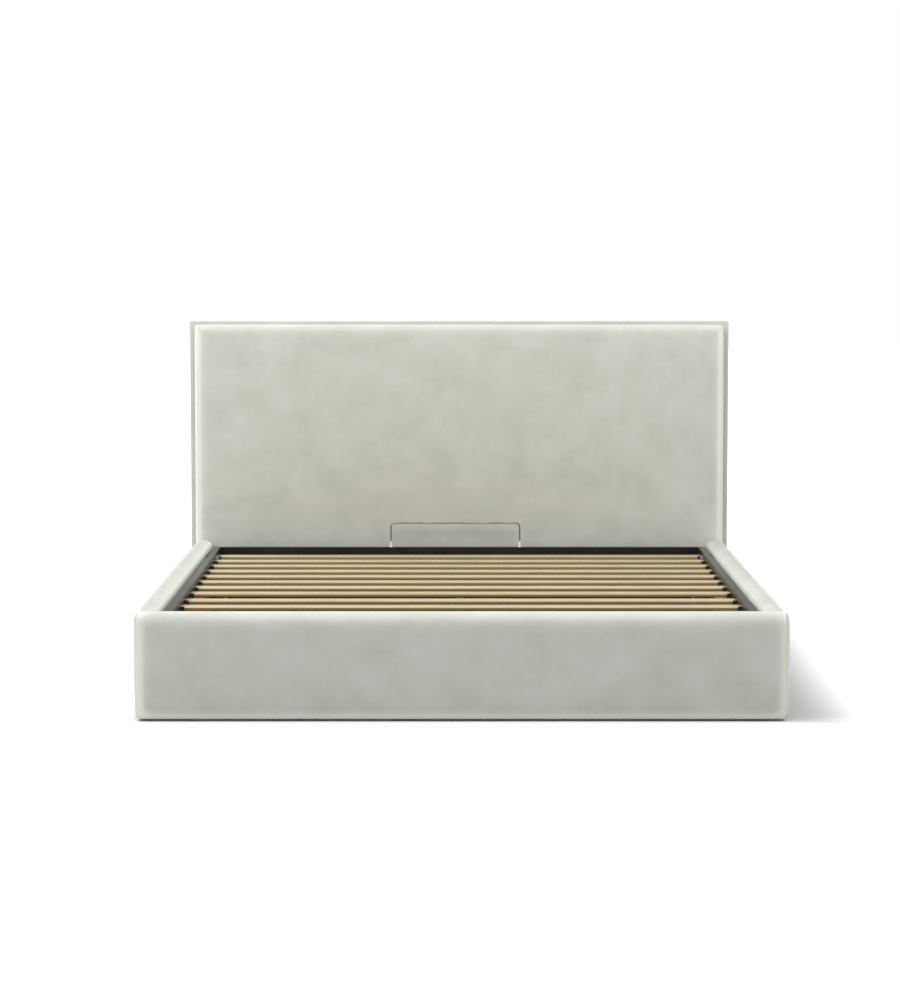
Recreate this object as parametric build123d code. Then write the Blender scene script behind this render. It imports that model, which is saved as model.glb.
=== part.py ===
from math import asin, cos, degrees, radians, sin
import os

from build123d import *

# An upholstered bed with a storage box under a slat frame that tips up on gas struts.
# Millimetres. X runs to the right as seen from the foot end, Y towards the headboard, Z up.
# The origin is on the floor, under the middle of the whole bed.

# Driving dimensions of the slat frame, which is made for a standard mattress
frame_width = 1600.0
frame_length = 2000.0
frame_top = 268.0
tube_width = 20.0
tube_height = 40.0
tube_wall = 1.5
frame_side_gap = 10.0
frame_foot_gap = 13.0
frame_head_gap = 22.0

# Box of upholstered boards round the frame
base_top = 284.0
floor_clearance = 10.0
board_thickness = 22.0
pad_thickness = 35.0
board_top_cover = 22.0
footboard_setback = 11.5
footboard_end_cover = 10.0
pad_bottom_draw = 6.0
pad_bottom_radius = 8.0
pad_shoulder_draw = 2.0
pad_inner_roll = 4.0
pad_inner_drop = 17.0
pad_end_radius = 6.0
crown_height_share = 0.5
ridge_share = 0.47

# Headboard
headboard_overhang = 16.0
headboard_top = 1003.0
border_thickness = 30.0
border_bar = 33.0
border_corner_radius = 4.0
cushion_thickness = 55.0
cushion_side_margin = 18.0
cushion_top_margin = 10.5
cushion_bottom = 205.0
cushion_corner_radius = 14.0
cushion_edge_radius = 12.0
cushion_crown = 8.0
core_thickness = 18.0
lining_thickness = 2.0

# Slats and their holders
slat_count = 12
slat_width = 70.0
slat_thickness = 9.0
slat_edge_radius = 2.5
slat_below_tube = 18.5
slat_end_margin = 118.0
wide_gap_extra = 27.0
wide_gap_after = 8
slat_end_clearance = 1.0
holder_depth = 12.0
holder_cheek = 6.0
holder_floor = 4.0
holder_lip = 2.0
holder_clearance = 0.1
centre_beam_width = 20.0
centre_beam_height = 30.0

# Wire stop that keeps the mattress from sliding, on the head tube
stop_width = 420.0
stop_offset = -13.0
stop_rise = 79.0
stop_wire_diameter = 5.0
stop_bend_radius = 14.0
stop_leg_depth = 25.0
sleeve_diameter = 7.5
sleeve_height = 20.0
sleeve_flange_diameter = 11.0
sleeve_flange_height = 2.0
running_clearance = 0.1

# Lifting gear
lift_angle = 40.0
strut_radius = 200.0
upper_pin_drop = 33.0
strut_closed_angle = 70.0
strut_lug_gap = 2.5
hinge_plate_thickness = 3.0
hinge_plate_width = 110.0
hinge_plate_margin = 13.5
hinge_plate_corner = 8.0
pivot_diameter = 10.0
pivot_bush_diameter = 18.0
pivot_head_diameter = 17.0
pivot_head_height = 7.0
weld_nut_diameter = 18.0
pin_diameter = 8.0
pin_shoulder_diameter = 14.0
pin_clip_height = 2.0
pin_clearance = 0.05
eye_diameter = 18.0
eye_width = 10.0
eye_side_clearance = 0.3
lug_thickness = 3.0
lug_width = 34.0
lug_corner = 6.0
cylinder_diameter = 22.0
cylinder_wall = 1.5
cylinder_end_wall = 8.0
neck_diameter = 9.0
neck_length = 18.0
rod_diameter = 8.0
piston_length = 14.0
piston_clearance = 0.2
end_stop_gap = 3.0

# Screws, bolts and brackets
bracket_height = 140.0
bracket_leg = 40.0
bracket_thickness = 3.0
bracket_bottom = 45.0
bolt_diameter = 8.0
bolt_head_diameter = 14.0
bolt_head_height = 4.0
bolt_length = 20.0
bolt_inset = 25.0
bolt_leg_share = 0.55
screw_diameter = 5.0
screw_head_diameter = 9.0
screw_head_height = 2.4
screw_length = 18.0
screw_inset = 12.0

# Floor of the storage box
cleat_width = 15.0
cleat_height = 17.0
floor_thickness = 5.0
floor_edge_gap = 1.0
floor_seam_gap = 1.0
floor_beam_width = 40.0

# Ledge and buffers that the closed frame comes down on
ledge_depth = 28.0
ledge_height = 28.0
ledge_thickness = 3.0
ledge_end_gap = 20.0
buffer_diameter = 18.0
buffer_height = 10.0
buffer_inset_share = 0.3
resting_gap = 0.3

# Glides under the boards
glide_diameter = 22.0
glide_top_diameter = 18.0
glide_inset = 120.0
beam_glide_share = 0.25
footboard_glide_share = 0.25

# Pull strap on the foot tube
strap_width = 30.0
strap_thickness = 2.5
strap_drop = 110.0
strap_loop = 24.0
strap_tab = 30.0
strap_offset = 60.0

# One overrun serves every cut
overrun = 5.0

# Places that follow from the sizes above
total_length = (board_thickness + pad_thickness + frame_foot_gap + frame_length
                + frame_head_gap + cushion_thickness + border_thickness)
front_y = -total_length / 2
footboard_inner_y = front_y + board_thickness + pad_thickness
frame_foot_y = footboard_inner_y + frame_foot_gap
frame_head_y = frame_foot_y + frame_length
cushion_front_y = frame_head_y + frame_head_gap
border_front_y = cushion_front_y + cushion_thickness
back_y = border_front_y + border_thickness
tube_outer_x = frame_width / 2
tube_inner_x = tube_outer_x - tube_width
tube_bottom = frame_top - tube_height
rail_inner_x = tube_outer_x + frame_side_gap
rail_board_x = rail_inner_x + board_thickness
board_top = base_top - board_top_cover
base_half = rail_board_x + pad_thickness
footboard_width = 2 * (base_half - footboard_setback)
headboard_width = 2 * (base_half + headboard_overhang)
cushion_half = headboard_width / 2 - cushion_side_margin
cushion_top = headboard_top - cushion_top_margin
slat_top = frame_top - slat_below_tube
slat_bottom = slat_top - slat_thickness
slat_pitch = (frame_length - 2 * slat_end_margin - wide_gap_extra) / (slat_count - 1)


def slat_y(index):
    """Middle of a slat, counted from 0 at the head end; one gap is wider than the rest."""
    extra = wide_gap_extra if index >= wide_gap_after else 0
    return frame_head_y - slat_end_margin - index * slat_pitch - extra


# The frame pivots midway between the first two slats, at the middle of its side tubes
pivot_y = (slat_y(0) + slat_y(1)) / 2
pivot_z = frame_top - tube_height / 2
upper_pin_angle = degrees(asin(upper_pin_drop / strut_radius))
lower_pin_angle = upper_pin_angle + strut_closed_angle
upper_pin_y = pivot_y - strut_radius * cos(radians(upper_pin_angle))
upper_pin_z = pivot_z - upper_pin_drop
lower_pin_y = pivot_y - strut_radius * cos(radians(lower_pin_angle))
lower_pin_z = pivot_z - strut_radius * sin(radians(lower_pin_angle))
strut_closed = 2 * strut_radius * sin(radians(strut_closed_angle / 2))
strut_open = 2 * strut_radius * sin(radians((strut_closed_angle + lift_angle) / 2))
plate_inner_x = rail_inner_x - hinge_plate_thickness
lug_inner_x = tube_outer_x - lug_thickness
strut_x = lug_inner_x - cylinder_diameter / 2 - strut_lug_gap
floor_bottom = floor_clearance + cleat_height
floor_top = floor_bottom + floor_thickness


def block(x0, x1, y0, y1, z0, z1):
    """Box between two corners."""
    middle = Pos((x0 + x1) / 2, (y0 + y1) / 2, (z0 + z1) / 2)
    return middle * Box(abs(x1 - x0), abs(y1 - y0), abs(z1 - z0))


def round_x(diameter, x0, x1, y, z):
    """Round bar along X."""
    return Pos((x0 + x1) / 2, y, z) * Rot(0, 90, 0) * Cylinder(diameter / 2, abs(x1 - x0))


def round_y(diameter, y0, y1, x, z):
    """Round bar along Y."""
    return Pos(x, (y0 + y1) / 2, z) * Rot(90, 0, 0) * Cylinder(diameter / 2, abs(y1 - y0))


def round_z(diameter, z0, z1, x, y):
    """Round bar along Z."""
    return Pos(x, y, (z0 + z1) / 2) * Cylinder(diameter / 2, abs(z1 - z0))


def hexagon_x(diameter, x0, x1, y, z):
    """Hexagonal head or nut along X, as wide across its flats as the diameter."""
    face = Plane(origin=(x0, y, z), x_dir=(0, 1, 0), z_dir=(1, 0, 0))
    return extrude(face * RegularPolygon(diameter / 2, 6, major_radius=False), x1 - x0)


def mirrored(shape):
    """The same piece on the other side of the bed."""
    return mirror(shape, about=Plane.YZ)


def save(name, *solids):
    """One file for each named piece; a group of like pieces shares one file."""
    shape = solids[0] if len(solids) == 1 else Compound(children=list(solids))
    export_step(shape, f"parts/{name}.step")


def save_pair(name, shape):
    """A right-hand piece and its mirror image, each in a file of its own."""
    save(f"{name}_right", shape)
    save(f"{name}_left", mirrored(shape))


def rounded_at(face, point, radius):
    """Round the corner of a flat outline that is nearest to a point."""
    corner = face.vertices().sort_by_distance((point[0], point[1], 0))[0]
    return fillet(corner, radius)


def padded_section(plane):
    """Outline of a padded board: flat inside, gently crowned outside, domed on top."""
    depth = board_thickness + pad_thickness
    ridge = ridge_share * depth
    dome_radius = depth - pad_shoulder_draw - ridge
    low = (0, floor_clearance)
    bottom = (depth - pad_bottom_draw, floor_clearance)
    shoulder = (ridge + dome_radius, base_top - dome_radius)
    crown_z = floor_clearance + crown_height_share * (shoulder[1] - floor_clearance)
    roll = (-pad_inner_roll, base_top - pad_inner_drop)
    outline = [
        Line(low, bottom),
        TangentArc((depth, crown_z), bottom, tangent=(0, -1)),
        TangentArc((depth, crown_z), shoulder, tangent=(0, 1)),
        TangentArc((ridge, base_top), shoulder, tangent=(1, 0)),
        TangentArc((ridge, base_top), roll, tangent=(-1, 0)),
        Line(roll, (0, board_top)),
        Line((0, board_top), low),
    ]
    flat = make_face(Wire(outline))
    return plane * rounded_at(flat, bottom, pad_bottom_radius)


def soften_end(solid, face):
    """Round the padded edges where a padded board ends."""
    return fillet(face.edges().filter_by(GeomType.CIRCLE), pad_end_radius)


def bolt_spots(wall_y, towards):
    """Heights and distances of the corner bolts, on the side board and on the end wall."""
    low = bracket_bottom + bolt_inset
    high = bracket_bottom + bracket_height - bolt_inset
    reach = bolt_leg_share * bracket_leg
    return [(wall_y + towards * reach, rail_inner_x - reach, z) for z in (low, high)]


def side_rail_board():
    """Right-hand side board, drilled for the corner bolts and the hinge plate's screws."""
    board = block(rail_inner_x, rail_board_x, footboard_inner_y, cushion_front_y,
                  floor_clearance, board_top)
    holes = [round_x(bolt_diameter + 2 * pin_clearance, rail_inner_x - overrun,
                     rail_inner_x + bolt_length + overrun, y, z)
             for spots in (bolt_spots(footboard_inner_y, 1), bolt_spots(cushion_front_y, -1))
             for y, x, z in spots]
    holes += [round_x(screw_diameter + 2 * pin_clearance, rail_inner_x - overrun,
                      rail_inner_x + screw_length + overrun, y, z)
              for y, z in plate_screw_spots()]
    return board - holes


def side_rail_pad():
    """Foam and fabric round the outside and top of the right-hand side board."""
    plane = Plane(origin=(rail_inner_x, cushion_front_y, 0), x_dir=(1, 0, 0), z_dir=(0, -1, 0))
    solid = extrude(padded_section(plane), cushion_front_y - footboard_inner_y)
    solid = soften_end(solid, solid.faces().sort_by(Axis.Y)[0])
    return solid - block(rail_inner_x - overrun, rail_board_x, footboard_inner_y - overrun,
                         cushion_front_y + overrun, floor_clearance - overrun, board_top)


def footboard_board():
    """Board across the foot end, drilled for the corner bolts."""
    half = footboard_width / 2 - footboard_end_cover
    board = block(-half, half, footboard_inner_y - board_thickness, footboard_inner_y,
                  floor_clearance, board_top)
    spots = bolt_spots(footboard_inner_y, 1)
    return board - [round_y(bolt_diameter + 2 * pin_clearance,
                            footboard_inner_y - bolt_length - overrun,
                            footboard_inner_y + overrun, side * x, z)
                    for side in (-1, 1) for y, x, z in spots]


def footboard_pad():
    """Foam and fabric over the front, top and ends of the footboard."""
    half = footboard_width / 2
    plane = Plane(origin=(half, footboard_inner_y, 0), x_dir=(0, -1, 0), z_dir=(-1, 0, 0))
    solid = extrude(padded_section(plane), footboard_width)
    for end in (0, -1):
        solid = soften_end(solid, solid.faces().sort_by(Axis.X)[end])
    inner = half - footboard_end_cover
    solid -= block(-inner, inner, footboard_inner_y - board_thickness,
                   footboard_inner_y + overrun, floor_clearance - overrun, board_top)
    roll_end = rail_inner_x - pad_inner_roll
    return solid - [block(side * roll_end, side * (half + overrun), footboard_inner_y,
                          footboard_inner_y + overrun, board_top - overrun,
                          base_top + overrun) for side in (-1, 1)]


def headboard_border():
    """Padded bar all round the back of the headboard; it shows as a flat border."""
    half = headboard_width / 2
    outer = block(-half, half, border_front_y, back_y, floor_clearance, headboard_top)
    outer = fillet(outer.edges().filter_by(Axis.Y), border_corner_radius)
    return outer - block(border_bar - half, half - border_bar, border_front_y - overrun,
                         back_y + overrun, floor_clearance + border_bar,
                         headboard_top - border_bar)


def inside_border(y0, y1):
    """Flat sheet that fills the opening of the border."""
    half = headboard_width / 2 - border_bar
    return block(-half, half, y0, y1, floor_clearance + border_bar, headboard_top - border_bar)


def headboard_cushion():
    """Upholstered front of the headboard, crowned both across and upwards."""
    half_height = (cushion_top - cushion_bottom) / 2
    reach = half_height + overrun
    reach_y = cushion_front_y + cushion_crown / 2 * (reach / half_height) ** 2
    deep_y = border_front_y + cushion_thickness
    upright = make_face(Wire([
        ThreePointArc((0, reach_y, -reach), (0, cushion_front_y, 0), (0, reach_y, reach)),
        Line((0, reach_y, reach), (0, deep_y, reach)),
        Line((0, deep_y, reach), (0, deep_y, -reach)),
        Line((0, deep_y, -reach), (0, reach_y, -reach)),
    ]))
    crown_radius = cushion_half ** 2 / cushion_crown
    axis = Axis((0, cushion_front_y + crown_radius, 0), (0, 0, 1))
    turn = degrees(asin((cushion_half + overrun) / crown_radius))
    crowned = revolve(upright.rotate(axis, -turn), axis, 2 * turn)
    outline = Plane(origin=(0, border_front_y, 0), x_dir=(1, 0, 0), z_dir=(0, -1, 0))
    outline *= RectangleRounded(2 * cushion_half, 2 * half_height, cushion_corner_radius)
    solid = crowned & extrude(outline, cushion_thickness + overrun)
    rim = solid.faces().sort_by(Axis.Y)[0].edges()
    return Pos(0, 0, (cushion_top + cushion_bottom) / 2) * fillet(rim, cushion_edge_radius)


def headboard_lower_board():
    """Solid block under the cushion that the side boards are bolted to."""
    board = block(-cushion_half, cushion_half, cushion_front_y, border_front_y,
                  floor_clearance, cushion_bottom)
    spots = bolt_spots(cushion_front_y, -1)
    return board - [round_y(bolt_diameter + 2 * pin_clearance, cushion_front_y - overrun,
                            cushion_front_y + bolt_length + overrun, side * x, z)
                    for side in (-1, 1) for y, x, z in spots]


def plate_screw_spots():
    """Places of the screws that hold a hinge plate to the side board."""
    rows = (plate_low + screw_inset, (plate_low + plate_high) / 2, plate_high - screw_inset)
    ends = (plate_foot_y + screw_inset, plate_head_y - screw_inset)
    return [(y, z) for y in ends for z in rows]


def wood_screw_x(y, z):
    """Pan-head screw through the hinge plate into the right-hand side board."""
    head = round_x(screw_head_diameter, plate_inner_x - screw_head_height, plate_inner_x, y, z)
    return head + round_x(screw_diameter, plate_inner_x, rail_inner_x + screw_length, y, z)


def hinge_plate():
    """Steel plate on the side board; it carries the frame's pivot and the strut's foot."""
    plate = block(plate_inner_x, rail_inner_x, plate_foot_y, plate_head_y, plate_low, plate_high)
    plate = fillet(plate.edges().filter_by(Axis.X), hinge_plate_corner)
    holes = [round_x(screw_diameter + 2 * pin_clearance, plate_inner_x - overrun,
                     rail_inner_x + overrun, y, z) for y, z in plate_screw_spots()]
    holes.append(round_x(pivot_diameter + 2 * pin_clearance, plate_inner_x - overrun,
                         rail_inner_x + overrun, pivot_y, pivot_z))
    return plate - holes


def weld_nut():
    """Nut welded to the hinge plate; it spaces the plate from the side tube."""
    nut = hexagon_x(weld_nut_diameter, tube_outer_x + eye_side_clearance, plate_inner_x,
                    pivot_y, pivot_z)
    return nut - round_x(pivot_diameter + 2 * pin_clearance, tube_outer_x - overrun,
                         plate_inner_x + overrun, pivot_y, pivot_z)


def pivot_bolt():
    """Bolt from inside the frame, through the side tube and into the weld nut."""
    head_x = tube_inner_x - eye_side_clearance
    head = hexagon_x(pivot_head_diameter, head_x - pivot_head_height, head_x, pivot_y, pivot_z)
    return head + round_x(pivot_diameter, head_x, rail_inner_x - pin_clearance,
                          pivot_y, pivot_z)


def strut_pin(carrier_x, y, z):
    """Shouldered pin for a strut's eye, with its retaining clip."""
    shoulder_x = strut_x + eye_width / 2 + eye_side_clearance
    clip_x = strut_x - eye_width / 2 - eye_side_clearance
    shoulder = round_x(pin_shoulder_diameter, shoulder_x, carrier_x, y, z)
    clip = round_x(pin_shoulder_diameter, clip_x - pin_clip_height, clip_x, y, z)
    return shoulder + clip + round_x(pin_diameter, clip_x, shoulder_x, y, z)


def strut_lug():
    """Lug welded under the side tube, with the pin for the strut's upper eye."""
    low = upper_pin_z - pin_shoulder_diameter
    lug = block(lug_inner_x, tube_outer_x, upper_pin_y - lug_width / 2,
                upper_pin_y + lug_width / 2, low, tube_bottom)
    corners = lug.edges().filter_by(Axis.X).sort_by(Axis.Z)[:2]
    return fillet(corners, lug_corner) + strut_pin(lug_inner_x, upper_pin_y, upper_pin_z)


def eye_and_neck():
    """Eye at the origin with its bore along X, and a neck that rises from it."""
    eye = round_x(eye_diameter, -eye_width / 2, eye_width / 2, 0, 0)
    neck = round_z(neck_diameter, 0, neck_length, 0, 0)
    bore = round_x(pin_diameter + 2 * pin_clearance, -neck_diameter, neck_diameter, 0, 0)
    return eye + neck - bore


def strut_cylinder():
    """Gas cylinder, standing on the origin."""
    top = strut_closed - neck_length - end_stop_gap
    tube = round_z(cylinder_diameter, neck_length, top, 0, 0)
    room = round_z(cylinder_diameter - 2 * cylinder_wall, neck_length + cylinder_end_wall,
                   top - cylinder_end_wall, 0, 0)
    mouth = round_z(rod_diameter + 2 * running_clearance, top - 2 * cylinder_end_wall,
                    top + overrun, 0, 0)
    return eye_and_neck() + (tube - room - mouth)


def strut_rod():
    """Rod and piston, hanging head down from the upper eye at the closed length."""
    tip = neck_length + cylinder_end_wall + end_stop_gap
    hanging = Pos(0, 0, strut_closed) * Rot(180, 0, 0) * eye_and_neck()
    rod = round_z(rod_diameter, tip, strut_closed - neck_length, 0, 0)
    bore = cylinder_diameter - 2 * cylinder_wall
    piston = round_z(bore - 2 * piston_clearance, tip, tip + piston_length, 0, 0)
    return hanging + rod + piston


def leaned(shape):
    """Place a strut piece on the lower pin, leaning to the upper pin."""
    lean = degrees(asin((lower_pin_y - upper_pin_y) / strut_closed))
    return Pos(strut_x, lower_pin_y, lower_pin_z) * Rot(lean, 0, 0) * shape


def frame_ring():
    """Rectangular tube bent into the whole rim of the slat frame, before it is mitred."""
    def rim(inset, z0, z1):
        outer = block(inset - tube_outer_x, tube_outer_x - inset, frame_foot_y + inset,
                      frame_head_y - inset, z0, z1)
        hole_x = tube_inner_x + inset
        return outer - block(-hole_x, hole_x, frame_foot_y + tube_width - inset,
                             frame_head_y - tube_width + inset, z0 - overrun, z1 + overrun)
    return rim(0, tube_bottom, frame_top) - rim(tube_wall, tube_bottom + tube_wall,
                                                frame_top - tube_wall)


def mitred(ring, corners):
    """The part of the rim inside a four-cornered outline."""
    outline = Pos(0, 0, tube_bottom - overrun) * make_face(Polyline(*corners, close=True))
    return ring & extrude(outline, tube_height + 2 * overrun)


def side_tube(ring):
    """Right-hand side tube with its pivot bush."""
    outer, inner = tube_outer_x + overrun, tube_inner_x - overrun
    foot, head = frame_foot_y - overrun, frame_head_y + overrun
    step = outer - inner
    tube = mitred(ring, [(outer, foot), (outer, head), (inner, head - step),
                         (inner, foot + step)])
    bush = round_x(pivot_bush_diameter, tube_inner_x, tube_outer_x, pivot_y, pivot_z)
    bore = round_x(pivot_diameter + 2 * pin_clearance, tube_inner_x - overrun,
                   tube_outer_x + overrun, pivot_y, pivot_z)
    return tube + bush - bore


def end_tube(ring, end_y, inwards):
    """Head or foot tube of the frame."""
    outer, inner = tube_outer_x + overrun, tube_inner_x - overrun
    far, near = end_y - inwards * overrun, end_y + inwards * (tube_width + overrun)
    return mitred(ring, [(-outer, far), (outer, far), (inner, near), (-inner, near)])


def head_tube(ring):
    """Head tube, drilled for the legs of the wire stop."""
    hole = stop_wire_diameter + 2 * running_clearance
    return end_tube(ring, frame_head_y, -1) - [
        round_z(hole, frame_top - tube_wall - overrun, frame_top + overrun, x, stop_y)
        for x in stop_leg_xs]


def centre_beam():
    """Tube along the middle, under the slats."""
    half = centre_beam_width / 2
    foot, head = frame_foot_y + tube_width, frame_head_y - tube_width
    low = slat_bottom - centre_beam_height
    tube = block(-half, half, foot, head, low, slat_bottom)
    return tube - block(tube_wall - half, half - tube_wall, foot - overrun, head + overrun,
                        low + tube_wall, slat_bottom - tube_wall)


def slat(index):
    """One springy wooden slat with rounded long edges."""
    half = tube_inner_x - slat_end_clearance
    middle = slat_y(index)
    plank = block(-half, half, middle - slat_width / 2, middle + slat_width / 2,
                  slat_bottom, slat_top)
    return fillet(plank.edges().filter_by(Axis.X), slat_edge_radius)


def slat_holder(index):
    """Plastic shoe on the side tube: two cheeks and a floor round a slat's end."""
    middle = slat_y(index)
    pocket = slat_width / 2 + holder_clearance
    inner_x = tube_inner_x - holder_depth
    shoe = block(inner_x, tube_inner_x, middle - pocket - holder_cheek,
                 middle + pocket + holder_cheek, slat_bottom - holder_floor,
                 slat_top + holder_lip)
    return shoe - block(inner_x - overrun, tube_inner_x + overrun, middle - pocket,
                        middle + pocket, slat_bottom, slat_top + holder_lip + overrun)


def stop_wire():
    """Bent wire that keeps the mattress from sliding towards the headboard."""
    left, right = stop_leg_xs
    low, high = frame_top - stop_leg_depth, frame_top + stop_rise
    path = FilletPolyline((left, stop_y, low), (left, stop_y, high), (right, stop_y, high),
                          (right, stop_y, low), radius=stop_bend_radius)
    section = Plane(origin=path @ 0, z_dir=path % 0) * Circle(stop_wire_diameter / 2)
    return sweep(section, path)


def stop_sleeve(x):
    """Plastic sleeve round a leg of the wire stop, standing on the head tube."""
    body = round_z(sleeve_diameter, frame_top, frame_top + sleeve_height, x, stop_y)
    flange = round_z(sleeve_flange_diameter, frame_top, frame_top + sleeve_flange_height,
                     x, stop_y)
    return body + flange - round_z(stop_wire_diameter + 2 * running_clearance,
                                   frame_top - overrun, frame_top + sleeve_height + overrun,
                                   x, stop_y)


def pull_strap():
    """Closed loop of webbing, sewn to hang from the inner face of the foot tube."""
    face_y = frame_foot_y + tube_width
    top = tube_bottom + strap_tab
    middle = (strap_offset - strap_width / 2, face_y + strap_loop / 2, top - strap_drop / 2)
    upright = Plane(origin=middle, x_dir=(0, 0, 1), z_dir=(1, 0, 0))
    outer = SlotOverall(strap_drop, strap_loop)
    inner = SlotOverall(strap_drop - 2 * strap_thickness, strap_loop - 2 * strap_thickness)
    return extrude(upright * (outer - inner), strap_width)


def corner_bracket(wall_y, towards):
    """Steel angle between the right-hand side board and an end wall."""
    top = bracket_bottom + bracket_height
    side = block(rail_inner_x - bracket_thickness, rail_inner_x, wall_y,
                 wall_y + towards * bracket_leg, bracket_bottom, top)
    end = block(rail_inner_x - bracket_leg, rail_inner_x, wall_y,
                wall_y + towards * bracket_thickness, bracket_bottom, top)
    hole = bolt_diameter + 2 * pin_clearance
    far = bracket_thickness + overrun
    holes = []
    for y, x, z in bolt_spots(wall_y, towards):
        holes.append(round_x(hole, rail_inner_x - far, rail_inner_x + overrun, y, z))
        holes.append(round_y(hole, wall_y - towards * overrun, wall_y + towards * far, x, z))
    return side + end - holes


def corner_bolts(wall_y, towards):
    """The four bolts of one right-hand bracket."""
    bolts = []
    plate_x = rail_inner_x - bracket_thickness
    plate_y = wall_y + towards * bracket_thickness
    for y, x, z in bolt_spots(wall_y, towards):
        head = round_x(bolt_head_diameter, plate_x - bolt_head_height, plate_x, y, z)
        bolts.append(head + round_x(bolt_diameter, plate_x, rail_inner_x + bolt_length, y, z))
        head = round_y(bolt_head_diameter, plate_y, plate_y + towards * bolt_head_height, x, z)
        bolts.append(head + round_y(bolt_diameter, wall_y - towards * bolt_length, plate_y,
                                    x, z))
    return bolts


def rest_ledge():
    """Steel angle on the footboard that the closed frame comes down on."""
    half = rail_inner_x - ledge_end_gap
    upright = block(-half, half, footboard_inner_y, footboard_inner_y + ledge_thickness,
                    ledge_top - ledge_height, ledge_top)
    return upright + block(-half, half, footboard_inner_y, footboard_inner_y + ledge_depth,
                           ledge_top - ledge_thickness, ledge_top)


def floor_panel():
    """Right-hand floor panel of the storage box."""
    return block(floor_seam_gap / 2, rail_inner_x - floor_edge_gap,
                 footboard_inner_y + floor_edge_gap, cushion_front_y - floor_edge_gap,
                 floor_bottom, floor_top)


def glide(x, y):
    """Low plastic glide under a board."""
    return Pos(x, y, floor_clearance / 2) * Cone(glide_diameter / 2, glide_top_diameter / 2,
                                                 floor_clearance)


def glide_spots():
    """Places of the glides under the boards, the border and the floor beam."""
    rail_x = (rail_inner_x + rail_board_x) / 2
    spots = [(side * rail_x, y) for side in (-1, 1)
             for y in (footboard_inner_y + glide_inset, 0, cushion_front_y - glide_inset)]
    spots += [(side * footboard_glide_share * footboard_width,
               footboard_inner_y - board_thickness / 2) for side in (-1, 1)]
    spots += [(side * (headboard_width / 2 - glide_inset), back_y - border_thickness / 2)
              for side in (-1, 1)]
    return spots + [(0, step * beam_glide_share * frame_length) for step in (-1, 0, 1)]


# Places that need the functions above
plate_low = lower_pin_z - hinge_plate_margin
plate_high = pivot_z + hinge_plate_margin
plate_foot_y = (lower_pin_y + pivot_y - hinge_plate_width) / 2
plate_head_y = plate_foot_y + hinge_plate_width
ledge_top = tube_bottom - resting_gap - buffer_height
stop_y = frame_head_y - tube_width / 2
stop_leg_xs = [stop_offset + side * stop_width / 2 for side in (-1, 1)]

os.makedirs("parts", exist_ok=True)

# Upholstered box
save("footboard_board", footboard_board())
save("footboard_pad", footboard_pad())
save_pair("side_rail_board", side_rail_board())
save_pair("side_rail_pad", side_rail_pad())

# Headboard
save("headboard_border", headboard_border())
save("headboard_core", inside_border(border_front_y, border_front_y + core_thickness))
save("headboard_back_lining", inside_border(back_y - lining_thickness, back_y))
save("headboard_cushion", headboard_cushion())
save("headboard_lower_board", headboard_lower_board())

# Corner joints
for end, wall_y, towards in (("foot", footboard_inner_y, 1), ("head", cushion_front_y, -1)):
    save_pair(f"corner_bracket_{end}", corner_bracket(wall_y, towards))
bolts = corner_bolts(footboard_inner_y, 1) + corner_bolts(cushion_front_y, -1)
save("corner_bolts", *bolts, *[mirrored(bolt) for bolt in bolts])

# Floor of the storage box
cleat_x = rail_inner_x - cleat_width
save_pair("floor_cleat", block(cleat_x, rail_inner_x, footboard_inner_y, cushion_front_y,
                               floor_clearance, floor_bottom))
save("floor_cleat_foot", block(-cleat_x, cleat_x, footboard_inner_y,
                               footboard_inner_y + cleat_width, floor_clearance, floor_bottom))
save("floor_cleat_head", block(-cleat_x, cleat_x, cushion_front_y - cleat_width,
                               cushion_front_y, floor_clearance, floor_bottom))
save("floor_beam", block(-floor_beam_width / 2, floor_beam_width / 2,
                         footboard_inner_y + cleat_width, cushion_front_y - cleat_width,
                         floor_clearance, floor_bottom))
save_pair("floor_panel", floor_panel())
save("glides", *[glide(x, y) for x, y in glide_spots()])

# Rest for the closed frame
buffer_x = buffer_inset_share * frame_width
buffer_y = footboard_inner_y + ledge_depth - buffer_diameter / 2
save("rest_ledge", rest_ledge())
save("rest_buffers", *[round_z(buffer_diameter, ledge_top, ledge_top + buffer_height,
                               side * buffer_x, buffer_y) for side in (-1, 1)])

# Lifting gear
save_pair("hinge_plate", hinge_plate())
screws = [wood_screw_x(y, z) for y, z in plate_screw_spots()]
save("hinge_plate_screws", *screws, *[mirrored(screw) for screw in screws])
save("pivot_nuts", weld_nut(), mirrored(weld_nut()))
save("pivot_bolts", pivot_bolt(), mirrored(pivot_bolt()))
lower_pin = strut_pin(plate_inner_x, lower_pin_y, lower_pin_z)
save("strut_lower_pins", lower_pin, mirrored(lower_pin))
save_pair("strut_lug", strut_lug())
save_pair("strut_cylinder", leaned(strut_cylinder()))
save_pair("strut_rod", leaned(strut_rod()))

# Slat frame
ring = frame_ring()
save_pair("side_tube", side_tube(ring))
save("head_tube", head_tube(ring))
save("foot_tube", end_tube(ring, frame_foot_y, 1))
save("centre_beam", centre_beam())
for index in range(slat_count):
    save(f"slat_{index + 1:02d}", slat(index))
holders = [slat_holder(index) for index in range(slat_count)]
save("slat_holders_right", *holders)
save("slat_holders_left", *[mirrored(holder) for holder in holders])
save("stop_wire", stop_wire())
save("stop_wire_sleeves", *[stop_sleeve(x) for x in stop_leg_xs])
save("pull_strap", pull_strap())

print(f"strut {strut_closed:.1f} closed, {strut_open:.1f} open; whole bed {total_length:.0f} long")
print(f"pivot at y {pivot_y:.2f}, z {pivot_z:.2f}; lower pin {lower_pin_y:.2f}, "
      f"{lower_pin_z:.2f}; upper pin {upper_pin_y:.2f}, {upper_pin_z:.2f}; strut x {strut_x:.2f}")
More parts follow.
